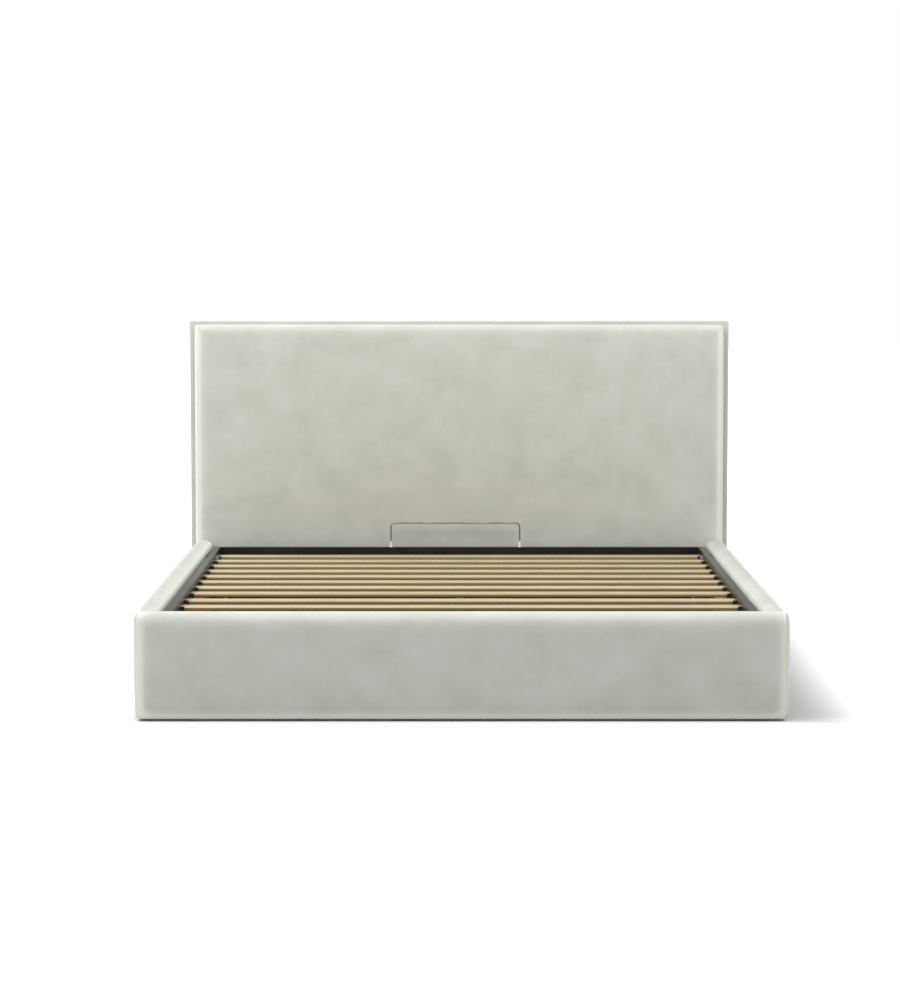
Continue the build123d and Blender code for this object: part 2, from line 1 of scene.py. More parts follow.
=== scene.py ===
# %% [markdown]
# # A storage bed in pale velvet
# The object is an upholstered bed whose slat frame tips up on gas struts, so that the box
# under it can be used for storage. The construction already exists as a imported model: boards,
# tubes, slats, struts and fasteners at their real size. This lesson dresses it. Hard parts keep
# their own meshes and get a finish; soft parts are modelled again as stuffed, crowned forms.
# Everything is in metres, in one frame: X to the right, Y towards the headboard, Z up.

# %% Load the construction
import math

import bmesh
import bpy
from mathutils import Matrix, Vector, noise


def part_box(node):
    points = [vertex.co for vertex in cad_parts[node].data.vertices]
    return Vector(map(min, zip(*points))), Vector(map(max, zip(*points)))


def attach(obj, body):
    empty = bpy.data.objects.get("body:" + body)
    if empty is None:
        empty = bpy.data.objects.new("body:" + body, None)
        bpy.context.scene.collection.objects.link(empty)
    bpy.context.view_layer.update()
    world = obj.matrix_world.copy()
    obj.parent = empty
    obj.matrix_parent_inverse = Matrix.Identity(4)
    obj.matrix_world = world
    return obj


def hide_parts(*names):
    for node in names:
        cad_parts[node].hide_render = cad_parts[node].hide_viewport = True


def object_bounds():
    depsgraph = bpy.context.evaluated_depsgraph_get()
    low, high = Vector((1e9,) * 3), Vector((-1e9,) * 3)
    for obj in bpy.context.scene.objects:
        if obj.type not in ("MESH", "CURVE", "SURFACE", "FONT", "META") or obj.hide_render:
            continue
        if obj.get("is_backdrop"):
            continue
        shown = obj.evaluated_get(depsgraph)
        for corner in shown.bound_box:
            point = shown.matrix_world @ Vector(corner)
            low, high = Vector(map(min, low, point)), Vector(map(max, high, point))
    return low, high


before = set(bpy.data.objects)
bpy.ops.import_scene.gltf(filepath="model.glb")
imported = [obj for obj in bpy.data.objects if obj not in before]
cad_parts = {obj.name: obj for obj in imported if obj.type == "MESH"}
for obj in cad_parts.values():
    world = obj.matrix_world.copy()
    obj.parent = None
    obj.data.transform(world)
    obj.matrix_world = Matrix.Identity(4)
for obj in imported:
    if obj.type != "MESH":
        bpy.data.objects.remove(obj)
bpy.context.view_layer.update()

scene = bpy.context.scene
scene.view_settings.view_transform = "Standard"

# %% [markdown]
# ## Where the main faces are
# A soft piece has to sit exactly where the construction leaves room for it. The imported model
# gives the lowest and highest corner of every part, so each place below is read from there
# and nothing is measured twice.


# %% Places read from the construction
def box_of(node):
    """Lowest and highest corner of a part, as two vectors."""
    low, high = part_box(node)
    return Vector(low), Vector(high)


foot_low, foot_high = box_of("footboard_pad")
rail_low, rail_high = box_of("side_rail_pad_right")
board_low, board_high = box_of("side_rail_board_right")
footboard_high = box_of("footboard_board")[1]
cushion_low, cushion_high = box_of("headboard_cushion")
border_low, border_high = box_of("headboard_border")
tube_low, tube_high = box_of("side_tube_right")
base_top = rail_high.z
base_bottom = rail_low.z
board_top = board_high.z
rail_inner = board_low.x
print("box inside", round(2 * rail_inner, 3), "wide, rails", round(base_top, 3), "high")

# %% [markdown]
# ## The camera
# The picture was taken square on from the foot end, a little to the left of the middle and
# from above. The camera stands far off behind a long lens, so it only has to look down by a
# few degrees, and the bed's upright edges stay upright to within a pixel. The distance was
# found from how much smaller the headboard looks than the footboard, and the lens from the
# footboard's width in the picture.

# %% Camera
eye_distance = 8.4086
eye_offset = -0.0305
eye_height = 1.2552
look_down = 4.5512
lens = 115.834

camera_data = bpy.data.cameras.new("camera")
camera_data.sensor_width = 36
camera_data.lens = lens
camera_data.clip_end = 100
camera = bpy.data.objects.new("camera", camera_data)
camera.location = (eye_offset, foot_low.y - eye_distance, eye_height)
camera.rotation_euler = (math.radians(90 - look_down), 0, 0)
scene.collection.objects.link(camera)
scene.camera = camera
print("camera stands", round(eye_distance, 2), "m off, lens", round(lens), "mm")

# %% [markdown]
# ## Colours and nodes
# Every finish is a small tree of shader nodes. A colour is easiest to judge as it looks on a
# screen, but Blender reckons in linear light, so one function turns the first into the second.
# The trees could be wired by hand; a small class with a short method for each usual step keeps
# them readable, because a finish then reads as a recipe.


# %% Colours
def srgb(red, green, blue):
    """A colour written as it looks on screen, 0 to 255, as linear light."""
    def linear(value):
        value /= 255
        return value / 12.92 if value <= 0.04045 else ((value + 0.055) / 1.055) ** 2.4
    return (linear(red), linear(green), linear(blue), 1.0)


def grey(value):
    """A grey for a mask or a roughness, already in linear light."""
    return (value, value, value, 1.0)


white = grey(1.0)
print("middle grey on screen is", round(srgb(128, 128, 128)[0], 3), "in linear light")


# %% Node helpers
class Finish:
    """A material with short ways to add nodes and join them."""

    def __init__(self, name):
        self.material = bpy.data.materials.new(name)
        self.material.use_nodes = True
        self.tree = self.material.node_tree
        self.tree.nodes.clear()
        self.output = self.add("ShaderNodeOutputMaterial")

    def add(self, kind, **values):
        """Add a node; values name its own settings or its input sockets."""
        node = self.tree.nodes.new(kind)
        for name, value in values.items():
            if hasattr(node, name):
                setattr(node, name, value)
            else:
                self.put(node, name.replace("_", " "), value)
        return node

    def put(self, node, socket, value):
        """Set an input, by name or number, or join it to another node's output."""
        target = node.inputs[socket]
        if isinstance(value, bpy.types.NodeSocket):
            self.tree.links.new(value, target)
        else:
            target.default_value = value

    def maths(self, operation, *values):
        """One step of arithmetic on numbers or on other nodes' outputs."""
        node = self.add("ShaderNodeMath", operation=operation)
        for socket, value in enumerate(values):
            self.put(node, socket, value)
        return node.outputs[0]

    def place(self, scale=(1, 1, 1)):
        """Object coordinates, stretched for a pattern."""
        coordinates = self.add("ShaderNodeTexCoord").outputs["Object"]
        mapping = self.add("ShaderNodeMapping", Vector=coordinates, Scale=scale)
        return mapping.outputs["Vector"]

    def clouds(self, scale, detail, roughness, stretch=(1, 1, 1)):
        """Soft noise between 0 and 1."""
        node = self.add("ShaderNodeTexNoise", Vector=self.place(stretch), Scale=scale,
                        Detail=detail, Roughness=roughness)
        return node.outputs["Fac"]

    def cells(self, scale, randomness=1.0, stretch=(1, 1, 1)):
        """Cells round scattered points: a node with a distance and a colour."""
        return self.add("ShaderNodeTexVoronoi", feature="F1", Vector=self.place(stretch),
                        Scale=scale, Randomness=randomness)

    def waves(self, direction, scale, distortion=0.0):
        """Straight bands across one axis."""
        return self.add("ShaderNodeTexWave", wave_type="BANDS", bands_direction=direction,
                        Vector=self.place(), Scale=scale, Distortion=distortion)

    def ramp(self, factor, *stops):
        """Colours along a factor; each stop is a place and a colour."""
        node = self.add("ShaderNodeValToRGB", Fac=factor)
        elements = node.color_ramp.elements
        for index, (spot, colour) in enumerate(stops):
            element = elements[index] if index < 2 else elements.new(spot)
            element.position = spot
            element.color = colour
        return node.outputs["Color"]

    def mix(self, factor, first, second, blend_type="MIX"):
        """Mix two colours, which go into the node's sockets 6 and 7."""
        node = self.add("ShaderNodeMix", data_type="RGBA", blend_type=blend_type)
        for socket, value in ((0, factor), (6, first), (7, second)):
            self.put(node, socket, value)
        return node.outputs[2]

    def bump(self, height, strength, distance, below=None):
        """A bump from a height, laid over another bump."""
        node = self.add("ShaderNodeBump", Height=height, Strength=strength, Distance=distance)
        if below is not None:
            self.put(node, "Normal", below)
        return node.outputs["Normal"]

    def surface(self, **values):
        """The main shader, joined to the output."""
        shader = self.add("ShaderNodeBsdfPrincipled", **values)
        self.put(self.output, "Surface", shader.outputs["BSDF"])
        print(self.material.name, "is made of", len(self.tree.nodes), "nodes")
        return self.material


# %% [markdown]
# ## The floor
# The bed stands on a white sweep that is pure white in the picture, apart from a soft shadow
# on the right. Lamps strong enough to burn the floor out would burn out the velvet as well. So
# the floor is a matt grey that takes the shadow, and a glow is added to it, seen only by the
# camera, by reflections and through glass, which puts no more light on the bed. The glow
# starts along straight lines close round the bed and rises softly over a short way. Behind
# the bed its line slants, because the headboard's shadow falls to the back and the right.


# %% Floor
def seen_directly(finish):
    """1 where the camera, a reflection or a glass looks straight at the surface."""
    path = finish.add("ShaderNodeLightPath")
    seen = path.outputs["Is Camera Ray"]
    for other in ("Is Glossy Ray", "Is Transmission Ray"):
        seen = finish.maths("MAXIMUM", seen, path.outputs[other])
    return seen


floor_size = 60
floor_grey = srgb(196, 196, 196)
back_slant = -0.8
glow_spans = (("X", -0.85, -0.93), ("X", 0.905, 1.27), ("Y", -1.09, -1.17),
              ("slanted", 1.5, 2.1))
bm = bmesh.new()
bmesh.ops.create_grid(bm, x_segments=1, y_segments=1, size=floor_size / 2)
floor_mesh = bpy.data.meshes.new("floor")
bm.to_mesh(floor_mesh)
bm.free()
floor = bpy.data.objects.new("floor", floor_mesh)
scene.collection.objects.link(floor)
floor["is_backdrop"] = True

sweep = Finish("white_sweep")
axes = sweep.add("ShaderNodeSeparateXYZ", Vector=sweep.place()).outputs
across = {"X": axes["X"], "Y": axes["Y"],
          "slanted": sweep.maths("MULTIPLY_ADD", axes["X"], back_slant, axes["Y"])}
whiteness = 0.0
for direction, start, full in glow_spans:
    rise = sweep.add("ShaderNodeMapRange", interpolation_type="SMOOTHSTEP",
                     Value=across[direction], From_Min=start, From_Max=full)
    whiteness = sweep.maths("MAXIMUM", whiteness, rise.outputs["Result"])
matt = sweep.add("ShaderNodeBsdfDiffuse", Color=floor_grey)
glow = sweep.add("ShaderNodeEmission", Color=white,
                 Strength=sweep.maths("MULTIPLY", seen_directly(sweep), whiteness))
both = sweep.add("ShaderNodeAddShader")
sweep.put(both, 0, matt.outputs[0])
sweep.put(both, 1, glow.outputs[0])
sweep.put(sweep.output, "Surface", both.outputs[0])
floor_mesh.materials.append(sweep.material)
print("floor", floor_size, "m wide, its glow starts along", len(glow_spans), "lines")

# %% [markdown]
# ## World and lights
# The world is white to the camera but weak as a light, so that shadows keep some depth. A
# large soft box high on the left gives the headboard its even tone and throws the shadow to
# the right. One above the foot end evens out the fronts, one on the right opens the side away
# from the first, and one behind the headboard's left brightens tops and rims.

# %% World
world_light = 0.42
world = bpy.data.worlds.new("studio")
scene.world = world
world.use_nodes = True
backdrop = world.node_tree.nodes["Background"]
path = world.node_tree.nodes.new("ShaderNodeLightPath")
strength = world.node_tree.nodes.new("ShaderNodeMapRange")
strength.inputs["To Min"].default_value = world_light
strength.inputs["To Max"].default_value = 1.0
world.node_tree.links.new(path.outputs["Is Camera Ray"], strength.inputs["Value"])
world.node_tree.links.new(strength.outputs["Result"], backdrop.inputs["Strength"])
backdrop.inputs["Color"].default_value = white
print("world light", world_light)


# %% Lights
def soft_light(name, place, aim, size, power):
    """A square soft box that looks at a point."""
    data = bpy.data.lights.new(name, "AREA")
    data.shape = "SQUARE"
    data.size = size
    data.energy = power
    light = bpy.data.objects.new(name, data)
    light.location = place
    light.rotation_mode = "QUATERNION"
    light.rotation_quaternion = (Vector(aim) - Vector(place)).to_track_quat("-Z", "Y")
    scene.collection.objects.link(light)
    print(name, size, "m wide,", power, "W")


soft_light("key_light", (-4.8, -3.0, 4.3), (0, 0, 0.3), 3.0, 172)
soft_light("top_light", (-0.6, -1.5, 4.2), (0, 0.6, 0.4), 3.2, 112)
soft_light("fill_light", (2.9, -1.7, 3.7), (0.6, 1.0, 0.6), 3.0, 100)
soft_light("back_light", (-3.2, 1.9, 3.6), (-0.2, -0.4, 0.3), 2.4, 150)

# %% [markdown]
# ## Velvet
# The cover is a short pile velvet. Its pile lies in slightly different directions from place
# to place, which shows as soft clouds a hand or two wide, and it catches light at grazing
# angles, so every rounded edge has a bright rim. The clouds are noise in the colour. The rims
# come from the shader's sheen, which is made for this, and from a painted highlight: where the
# cover bends, its colour is painted paler. How strongly it is painted is stored on each soft
# piece in the attribute "bend". A fine bump breaks up the surface.


# %% Velvet
def velvet_finish():
    """Pale grey green velvet with soft clouds in the pile and a painted highlight on bends."""
    finish = Finish("velvet")
    broad = finish.clouds(9.0, 4.0, 0.6)
    near = finish.clouds(26.0, 3.0, 0.6)
    pile = finish.clouds(950.0, 2.0, 0.7)
    colour = finish.ramp(broad, (0.32, srgb(180, 181, 173)), (0.5, srgb(186, 187, 179)),
                         (0.68, srgb(191, 192, 185)))
    colour = finish.mix(0.05, colour, near, "SOFT_LIGHT")
    colour = finish.mix(0.12, colour, pile, "SOFT_LIGHT")
    bend = finish.add("ShaderNodeAttribute", attribute_name="bend").outputs["Fac"]
    # painted highlight: the colour is mixed towards a pale grey where the "bend" attribute is
    # high
    painted_rim_highlight = finish.ramp(bend, (0.0, grey(0)), (0.5, grey(0.12)), (1.0, grey(0.78)))
    colour = finish.mix(painted_rim_highlight, colour, srgb(234, 234, 226))
    nap = finish.bump(near, 0.16, 0.003)
    nap = finish.bump(pile, 0.35, 0.0005, nap)
    return finish.surface(Base_Color=colour, Roughness=0.92, Normal=nap, Sheen_Weight=1.0,
                          Sheen_Roughness=0.22, Sheen_Tint=srgb(250, 249, 243),
                          Specular_IOR_Level=0.2)


finishes = {"velvet": velvet_finish()}

# %% [markdown]
# ## Wood
# The slats are glued from thin layers of birch: long grain on the faces, the cut plies as dark
# lines along the edges. The grain is noise stretched along the slat. The plies are a wave in
# height that shows only where the surface faces sideways, and the whole edge is painted darker
# than the faces as shade. Every slat gets its own tone from where it lies along the bed, as
# boards from different logs do.


# %% Slat wood
def lying_faces(finish):
    """1 on faces that look up or down, 0 on edges."""
    normal = finish.add("ShaderNodeNewGeometry").outputs["Normal"]
    turn = finish.add("ShaderNodeVectorTransform", vector_type="NORMAL",
                      convert_from="WORLD", convert_to="OBJECT", Vector=normal)
    split = finish.add("ShaderNodeSeparateXYZ", Vector=turn.outputs["Vector"])
    return finish.maths("ABSOLUTE", split.outputs["Z"])


def slat_finish():
    """Laminated birch with grain along X, and plies on edges that are painted darker as shade.
    """
    finish = Finish("slat_birch")
    grain = finish.clouds(3.2, 6.0, 0.62, (2.2, 46, 46))
    pores = finish.clouds(2.4, 2.0, 0.7, (14, 620, 620))
    board = finish.clouds(5.1, 1.0, 0.4, (0.02, 1, 0.02))
    plies = finish.waves("Z", 105.0, 0.4)
    face = finish.ramp(grain, (0.3, srgb(156, 137, 98)), (0.52, srgb(179, 163, 126)),
                       (0.75, srgb(193, 179, 146)))
    face = finish.mix(0.22, face, pores, "OVERLAY")
    face = finish.mix(0.3, face, board, "SOFT_LIGHT")
    # edge colour: dark ply lines, and a darker tone overall that is painted shade
    edge = finish.ramp(plies.outputs["Fac"], (0.35, srgb(116, 98, 64)),
                       (0.62, srgb(163, 143, 102)))
    facing = finish.ramp(lying_faces(finish), (0.35, grey(0)), (0.7, white))
    colour = finish.mix(facing, edge, face)
    relief = finish.bump(pores, 0.25, 0.0004)
    return finish.surface(Base_Color=colour, Roughness=0.42, Normal=relief,
                          Coat_Weight=0.18, Coat_Roughness=0.25)


finishes["slat_birch"] = slat_finish()

# %% [markdown]
# ## Boards
# Under the velvet the bed is plain board: cleats and a beam of planed pine, outer boards of
# chipboard lined in a pale laminate, and a floor of brown hardboard. They show when the frame
# is up. Each is noise at the size of what one sees in it: rings, chips or pressed fibres.


# %% Pine, chipboard and hardboard
def pine_finish():
    """Planed softwood: broad rings pulled out along the length."""
    finish = Finish("pine")
    rings = finish.clouds(2.6, 3.0, 0.55, (3, 3, 40))
    fine = finish.clouds(3.0, 3.0, 0.6, (9, 9, 400))
    colour = finish.ramp(rings, (0.35, srgb(190, 152, 98)), (0.5, srgb(214, 180, 128)),
                         (0.6, srgb(226, 197, 150)))
    colour = finish.mix(0.2, colour, fine, "SOFT_LIGHT")
    return finish.surface(Base_Color=colour, Roughness=0.62,
                          Normal=finish.bump(fine, 0.3, 0.0004))


def laminate_finish():
    """Chipboard lined in a pale laminate, chips showing faintly through."""
    finish = Finish("chipboard")
    chips = finish.cells(210.0, 1.0, (1, 1, 2.2))
    dust = finish.clouds(60.0, 4.0, 0.6)
    tone = finish.ramp(dust, (0.35, srgb(178, 160, 128)), (0.65, srgb(202, 186, 156)))
    colour = finish.mix(0.22, tone, chips.outputs["Color"], "SOFT_LIGHT")
    return finish.surface(Base_Color=colour, Roughness=0.66,
                          Normal=finish.bump(chips.outputs["Distance"], 0.2, 0.0006))


def hardboard_finish():
    """Thin brown hardboard with pressed fibres."""
    finish = Finish("hardboard")
    fibres = finish.clouds(130.0, 5.0, 0.7, (1, 1.6, 1))
    patches = finish.clouds(7.0, 3.0, 0.55)
    colour = finish.ramp(fibres, (0.3, srgb(96, 68, 44)), (0.55, srgb(126, 93, 62)),
                         (0.8, srgb(150, 117, 82)))
    colour = finish.mix(0.35, colour, patches, "SOFT_LIGHT")
    return finish.surface(Base_Color=colour, Roughness=0.5,
                          Normal=finish.bump(fibres, 0.25, 0.0005))


finishes.update(pine=pine_finish(), chipboard=laminate_finish(), hardboard=hardboard_finish())

# %% [markdown]
# ## Metals
# The tipping frame is powder coated in satin black: nearly black head on, but a clear grey
# where a flat tube top is seen along its length, which the coat layer of the shader gives.
# Powder coat also has a faint orange peel. Zinc plating has grey spangles, the stop wire is
# bare drawn wire, and the strut rods are hard chrome.


# %% Metals
def powder_coat_finish():
    """Satin black powder coat with orange peel."""
    finish = Finish("frame_steel")
    peel = finish.clouds(620.0, 1.0, 0.4)
    dust = finish.clouds(22.0, 4.0, 0.6)
    colour = finish.ramp(dust, (0.35, srgb(24, 23, 21)), (0.7, srgb(34, 33, 30)))
    rough = finish.ramp(dust, (0.3, grey(0.36)), (0.7, grey(0.5)))
    return finish.surface(Base_Color=colour, Roughness=rough, Specular_IOR_Level=0.2,
                          Coat_Weight=0.8, Coat_Roughness=0.32, Coat_IOR=1.25,
                          Normal=finish.bump(peel, 0.18, 0.0004))


def zinc_finish():
    """Zinc plated steel with soft spangles."""
    finish = Finish("zinc_steel")
    spangle = finish.cells(160.0)
    tarnish = finish.clouds(34.0, 4.0, 0.6)
    colour = finish.ramp(tarnish, (0.3, srgb(106, 108, 109)), (0.7, srgb(142, 144, 145)))
    colour = finish.mix(0.15, colour, spangle.outputs["Color"], "SOFT_LIGHT")
    rough = finish.ramp(tarnish, (0.3, grey(0.5)), (0.75, grey(0.66)))
    return finish.surface(Base_Color=colour, Metallic=1.0, Roughness=rough)


def wire_finish():
    """Bare drawn wire, dulled, with fine lines along it."""
    finish = Finish("wire_steel")
    drawn = finish.clouds(1.0, 2.0, 0.6, (900, 900, 40))
    stain = finish.clouds(45.0, 3.0, 0.6)
    colour = finish.ramp(stain, (0.3, srgb(128, 126, 116)), (0.7, srgb(166, 164, 152)))
    rough = finish.ramp(drawn, (0.3, grey(0.3)), (0.7, grey(0.46)))
    return finish.surface(Base_Color=colour, Metallic=1.0, Roughness=rough)


def chrome_finish():
    """Hard chrome rod with a thin film of oil."""
    finish = Finish("rod_chrome")
    film = finish.clouds(90.0, 3.0, 0.6)
    rough = finish.ramp(film, (0.3, grey(0.07)), (0.8, grey(0.16)))
    tone = finish.ramp(film, (0.3, srgb(212, 214, 216)), (0.7, srgb(228, 229, 230)))
    return finish.surface(Base_Color=tone, Metallic=1.0, Roughness=rough)


finishes.update(frame_steel=powder_coat_finish(), zinc_steel=zinc_finish(),
                wire_steel=wire_finish(), rod_chrome=chrome_finish())

# %% [markdown]
# ## Paint, plastic and rubber
# The strut cylinders are painted, and the slat holders, sleeves, buffers and glides are
# moulded. All of these skins are nearly even: a very fine peel breaks up the highlight, and
# the tone drifts a little. So one recipe serves, with a colour, a gloss and a peel for each.


# %% Paint, plastic and rubber
def moulded_finish(name, dark, light, roughness, peel_scale, coat=0.0):
    """A moulded or painted skin: fine peel and a slight change of tone."""
    finish = Finish(name)
    peel = finish.clouds(peel_scale, 2.0, 0.5)
    tone = finish.clouds(30.0, 3.0, 0.55)
    colour = finish.ramp(tone, (0.3, dark), (0.7, light))
    return finish.surface(Base_Color=colour, Roughness=roughness, Coat_Weight=coat,
                          Coat_Roughness=0.12, Normal=finish.bump(peel, 0.3, 0.0003))


moulded = {
    "cylinder_paint": (srgb(20, 20, 21), srgb(30, 30, 31), 0.3, 500.0, 0.5),
    "black_plastic": (srgb(31, 31, 31), srgb(43, 43, 43), 0.52, 1500.0),
    "white_plastic": (srgb(222, 221, 214), srgb(232, 231, 225), 0.34, 900.0, 0.2),
    "rubber": (srgb(25, 25, 25), srgb(38, 38, 37), 0.8, 1100.0),
}
for name, look in moulded.items():
    finishes[name] = moulded_finish(name, *look)

# %% [markdown]
# ## Webbing and lining
# The pull strap is woven tape, so two sets of waves cross and darken each other. The lining is
# a cheap cloth of pressed fibres, welded together at tiny points that stand in a grid: cells
# with hardly any scatter give the points.


# %% Webbing and lining
def webbing_finish():
    """Black woven tape: two crossing waves make the weave."""
    finish = Finish("webbing")
    warp, weft = finish.waves("X", 190.0), finish.waves("Z", 150.0)
    weave = finish.mix(1.0, warp.outputs["Color"], weft.outputs["Color"], "MULTIPLY")
    colour = finish.ramp(weave, (0.0, srgb(24, 24, 25)), (0.8, srgb(58, 58, 60)))
    return finish.surface(Base_Color=colour, Roughness=0.85, Sheen_Weight=0.25,
                          Normal=finish.bump(weave, 0.6, 0.0006))


def lining_finish():
    """Dark spunbond lining: pressed fibres with a grid of tiny weld points."""
    finish = Finish("lining")
    fibres = finish.clouds(420.0, 4.0, 0.75)
    points = finish.cells(480.0, 0.12, (1, 0.1, 1))
    colour = finish.ramp(fibres, (0.3, srgb(44, 44, 46)), (0.7, srgb(70, 70, 72)))
    relief = finish.bump(points.outputs["Distance"], 0.4, 0.0005)
    return finish.surface(Base_Color=colour, Roughness=0.88, Sheen_Weight=0.1,
                          Normal=finish.bump(fibres, 0.3, 0.0003, relief))


finishes.update(webbing=webbing_finish(), lining=lining_finish())

# %% [markdown]
# ## Finishes on the construction
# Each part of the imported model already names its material. The parts keep their meshes, and
# every slot gets the finish of the same name.

# %% Finishes on the construction
painted = 0
for name, node in sorted(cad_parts.items()):
    for place in node.material_slots:
        slot_name = place.material.name.split(".")[0]
        if slot_name in finishes:
            place.material = finishes[slot_name]
            painted += 1
        else:
            print("no finish for", name, place.material.name)
print("finished", painted, "surfaces of", len(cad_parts), "parts")

# %% [markdown]
# ## From a bmesh to a piece of the bed
# Every new piece goes through the same few steps: its mesh is cleaned, its faces are turned
# outwards, it gets a finish, it is hung on the body it moves with, and the parts of the
# construction it stands for are hidden. Soft pieces also need even cells, so that cloth can
# bend there, rounded edges, and a smoothing modifier that is worked out again whenever the
# mesh is shown.


# %% Making a piece
merge_distance = 0.00002


def make_piece(bm, name, finish, body, stands_for=(), smooth=True):
    """Turn a bmesh into a finished object that rides on a body."""
    bmesh.ops.remove_doubles(bm, verts=bm.verts, dist=merge_distance)
    bmesh.ops.recalc_face_normals(bm, faces=bm.faces)
    for face in bm.faces:
        face.smooth = smooth
    mesh = bpy.data.meshes.new(name)
    bm.to_mesh(mesh)
    bm.free()
    mesh.materials.append(finishes[finish])
    piece = bpy.data.objects.new(name, mesh)
    scene.collection.objects.link(piece)
    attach(piece, body)
    if stands_for:
        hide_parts(*stands_for)
    return piece


def along(geom):
    """Only the points of a list of geometry."""
    return [g for g in geom if isinstance(g, bmesh.types.BMVert)]


def into_cells(bm, axis, size):
    """Cut the long edges that run along an axis into cells of about one size."""
    across = [k for k in range(3) if k != axis]
    lengths = {}
    for edge in bm.edges:
        span = edge.verts[1].co - edge.verts[0].co
        if abs(span[axis]) > 1.5 * size and all(abs(span[k]) < 0.002 for k in across):
            lengths[edge] = abs(span[axis])
    longest = max(lengths.values())
    alike = [edge for edge, length in lengths.items() if length > 0.75 * longest]
    bmesh.ops.subdivide_edges(bm, edges=alike, cuts=max(round(longest / size) - 1, 1),
                              use_grid_fill=True)


def round_edges(bm, edges, radius, segments):
    """Bevel edges to an arc."""
    bmesh.ops.bevel(bm, geom=edges, offset=radius, offset_type="OFFSET", segments=segments,
                    profile=0.5, affect="EDGES", clamp_overlap=True, material=-1)


def subdivide(piece):
    """Smooth a finished piece with a subdivision surface."""
    smoother = piece.modifiers.new("smooth", "SUBSURF")
    smoother.levels = smoother.render_levels = 1


def thicken(piece, thickness):
    """Give a sheet its thickness, half to each side."""
    wall = piece.modifiers.new("cloth", "SOLIDIFY")
    wall.thickness = thickness
    wall.offset = 0
    return wall


# %% [markdown]
# ## Stuffing by simulation
# Foam under a tight cover swells between the places where the cover is held. Blender's cloth
# does the same: the faces against the board are pinned, and an inside pressure pushes the rest
# out for twenty frames without gravity. Only the way outwards is kept, since glued foam neither
# shrinks nor slides. It levels off towards a cap, which acts as the foam's own stiffness, and a
# few rounds of averaging take out creases that foam would not hold. The result is written into
# the mesh and the modifier is removed.


# %% Stuffing
inside_pressure = 4.0
cover_stiffness = 18.0
bending_stiffness = 1.5
cloth_frames = 20
averaging_rounds = 4


def neighbours(mesh):
    """For each point, the points that an edge joins to it."""
    beside = [[] for _ in mesh.vertices]
    for edge in mesh.edges:
        one, two = edge.vertices
        beside[one].append(two)
        beside[two].append(one)
    return beside


def blown_up(piece, fixed):
    """Places of a piece's points after a run of pressed cloth."""
    group = piece.vertex_groups.new(name="held")
    group.add(fixed, 1.0, "REPLACE")
    cloth = piece.modifiers.new("stuffing", "CLOTH")
    cloth.settings.vertex_group_mass = "held"
    cloth.settings.use_pressure = True
    cloth.settings.uniform_pressure_force = inside_pressure
    cloth.settings.tension_stiffness = cover_stiffness
    cloth.settings.compression_stiffness = cover_stiffness
    cloth.settings.bending_stiffness = bending_stiffness
    cloth.settings.effector_weights.gravity = 0
    cloth.point_cache.frame_start = 1
    cloth.point_cache.frame_end = cloth_frames
    for frame_number in range(1, cloth_frames + 1):
        scene.frame_set(frame_number)
    posed = piece.evaluated_get(bpy.context.evaluated_depsgraph_get())
    moved = [v.co.copy() for v in posed.data.vertices]
    piece.modifiers.remove(cloth)
    piece.vertex_groups.remove(group)
    scene.frame_set(1)
    return moved


def stuff(piece, held, cap):
    """Blow a closed form up against its held points, even it out, and keep the swelling."""
    mesh = piece.data
    fixed = [v.index for v in mesh.vertices if held(v.co)]
    outward = [v.normal.copy() for v in mesh.vertices]
    moved = blown_up(piece, fixed)
    swell = [cap * math.tanh(max((new - v.co).dot(out), 0) / cap)
             for new, v, out in zip(moved, mesh.vertices, outward)]
    beside = neighbours(mesh)
    free = sorted(set(range(len(swell))) - set(fixed))
    for _ in range(averaging_rounds):
        means = [sum(swell[n] for n in beside[k]) / len(beside[k]) for k in free]
        for k, mean in zip(free, means):
            swell[k] = (swell[k] + mean) / 2
    for vertex, out, amount in zip(mesh.vertices, outward, swell):
        vertex.co = vertex.co + out * amount
    print(piece.name, "swelled", round(max(swell) * 1000, 1), "mm,", len(swell), "points")


# %% [markdown]
# ## Painted highlight on the bends
# The velvet finish is painted paler where its cover bends, as a highlight, and a material can't
# measure that by itself. So the turn between neighbouring points is measured here, in radians
# to the metre, and stored on the mesh. How much of the painted highlight shows is set for each
# piece, and on tops, which one sees at a grazing angle, the sheen does most of it.

# %% Bends
bend_from = 12.0
bend_full = 68.0
shortest_edge = 0.002


def mark_painted_highlight(piece, highlight_strength=1.0, on_tops=1.0):
    """Write how strongly each point is painted paler as a highlight, and what share of it tops
    keep.
    """
    mesh = piece.data
    bend = [0.0] * len(mesh.vertices)
    for edge in mesh.edges:
        one, two = (mesh.vertices[k] for k in edge.vertices)
        length = max((one.co - two.co).length, shortest_edge)
        curve = one.normal.angle(two.normal, 0) / length
        share = min(max((curve - bend_from) / (bend_full - bend_from), 0), 1)
        for vertex in (one, two):
            lit = share * highlight_strength * (1 + (on_tops - 1) * max(vertex.normal.z, 0))
            bend[vertex.index] = max(bend[vertex.index], lit)
    # stored as the strength of the painted highlight, which the velvet finish reads
    layer = mesh.attributes.new("bend", "FLOAT", "POINT")
    layer.data.foreach_set("value", bend)
    print(piece.name, "bends sharply at", sum(b > 0.5 for b in bend), "points")


# %% [markdown]
# ## Padded boards
# The side rails and the footboard are boards with foam glued over the outside and the top,
# under one tight velvet cover. The section is the same on all three: a small bottom corner, a
# gently crowned face, a fat dome on top, and a roll that turns in over the board's top edge.
# The outline is drawn point by point with spun arcs, joined row by row to a second line along
# the board, and then pulled out along the board.

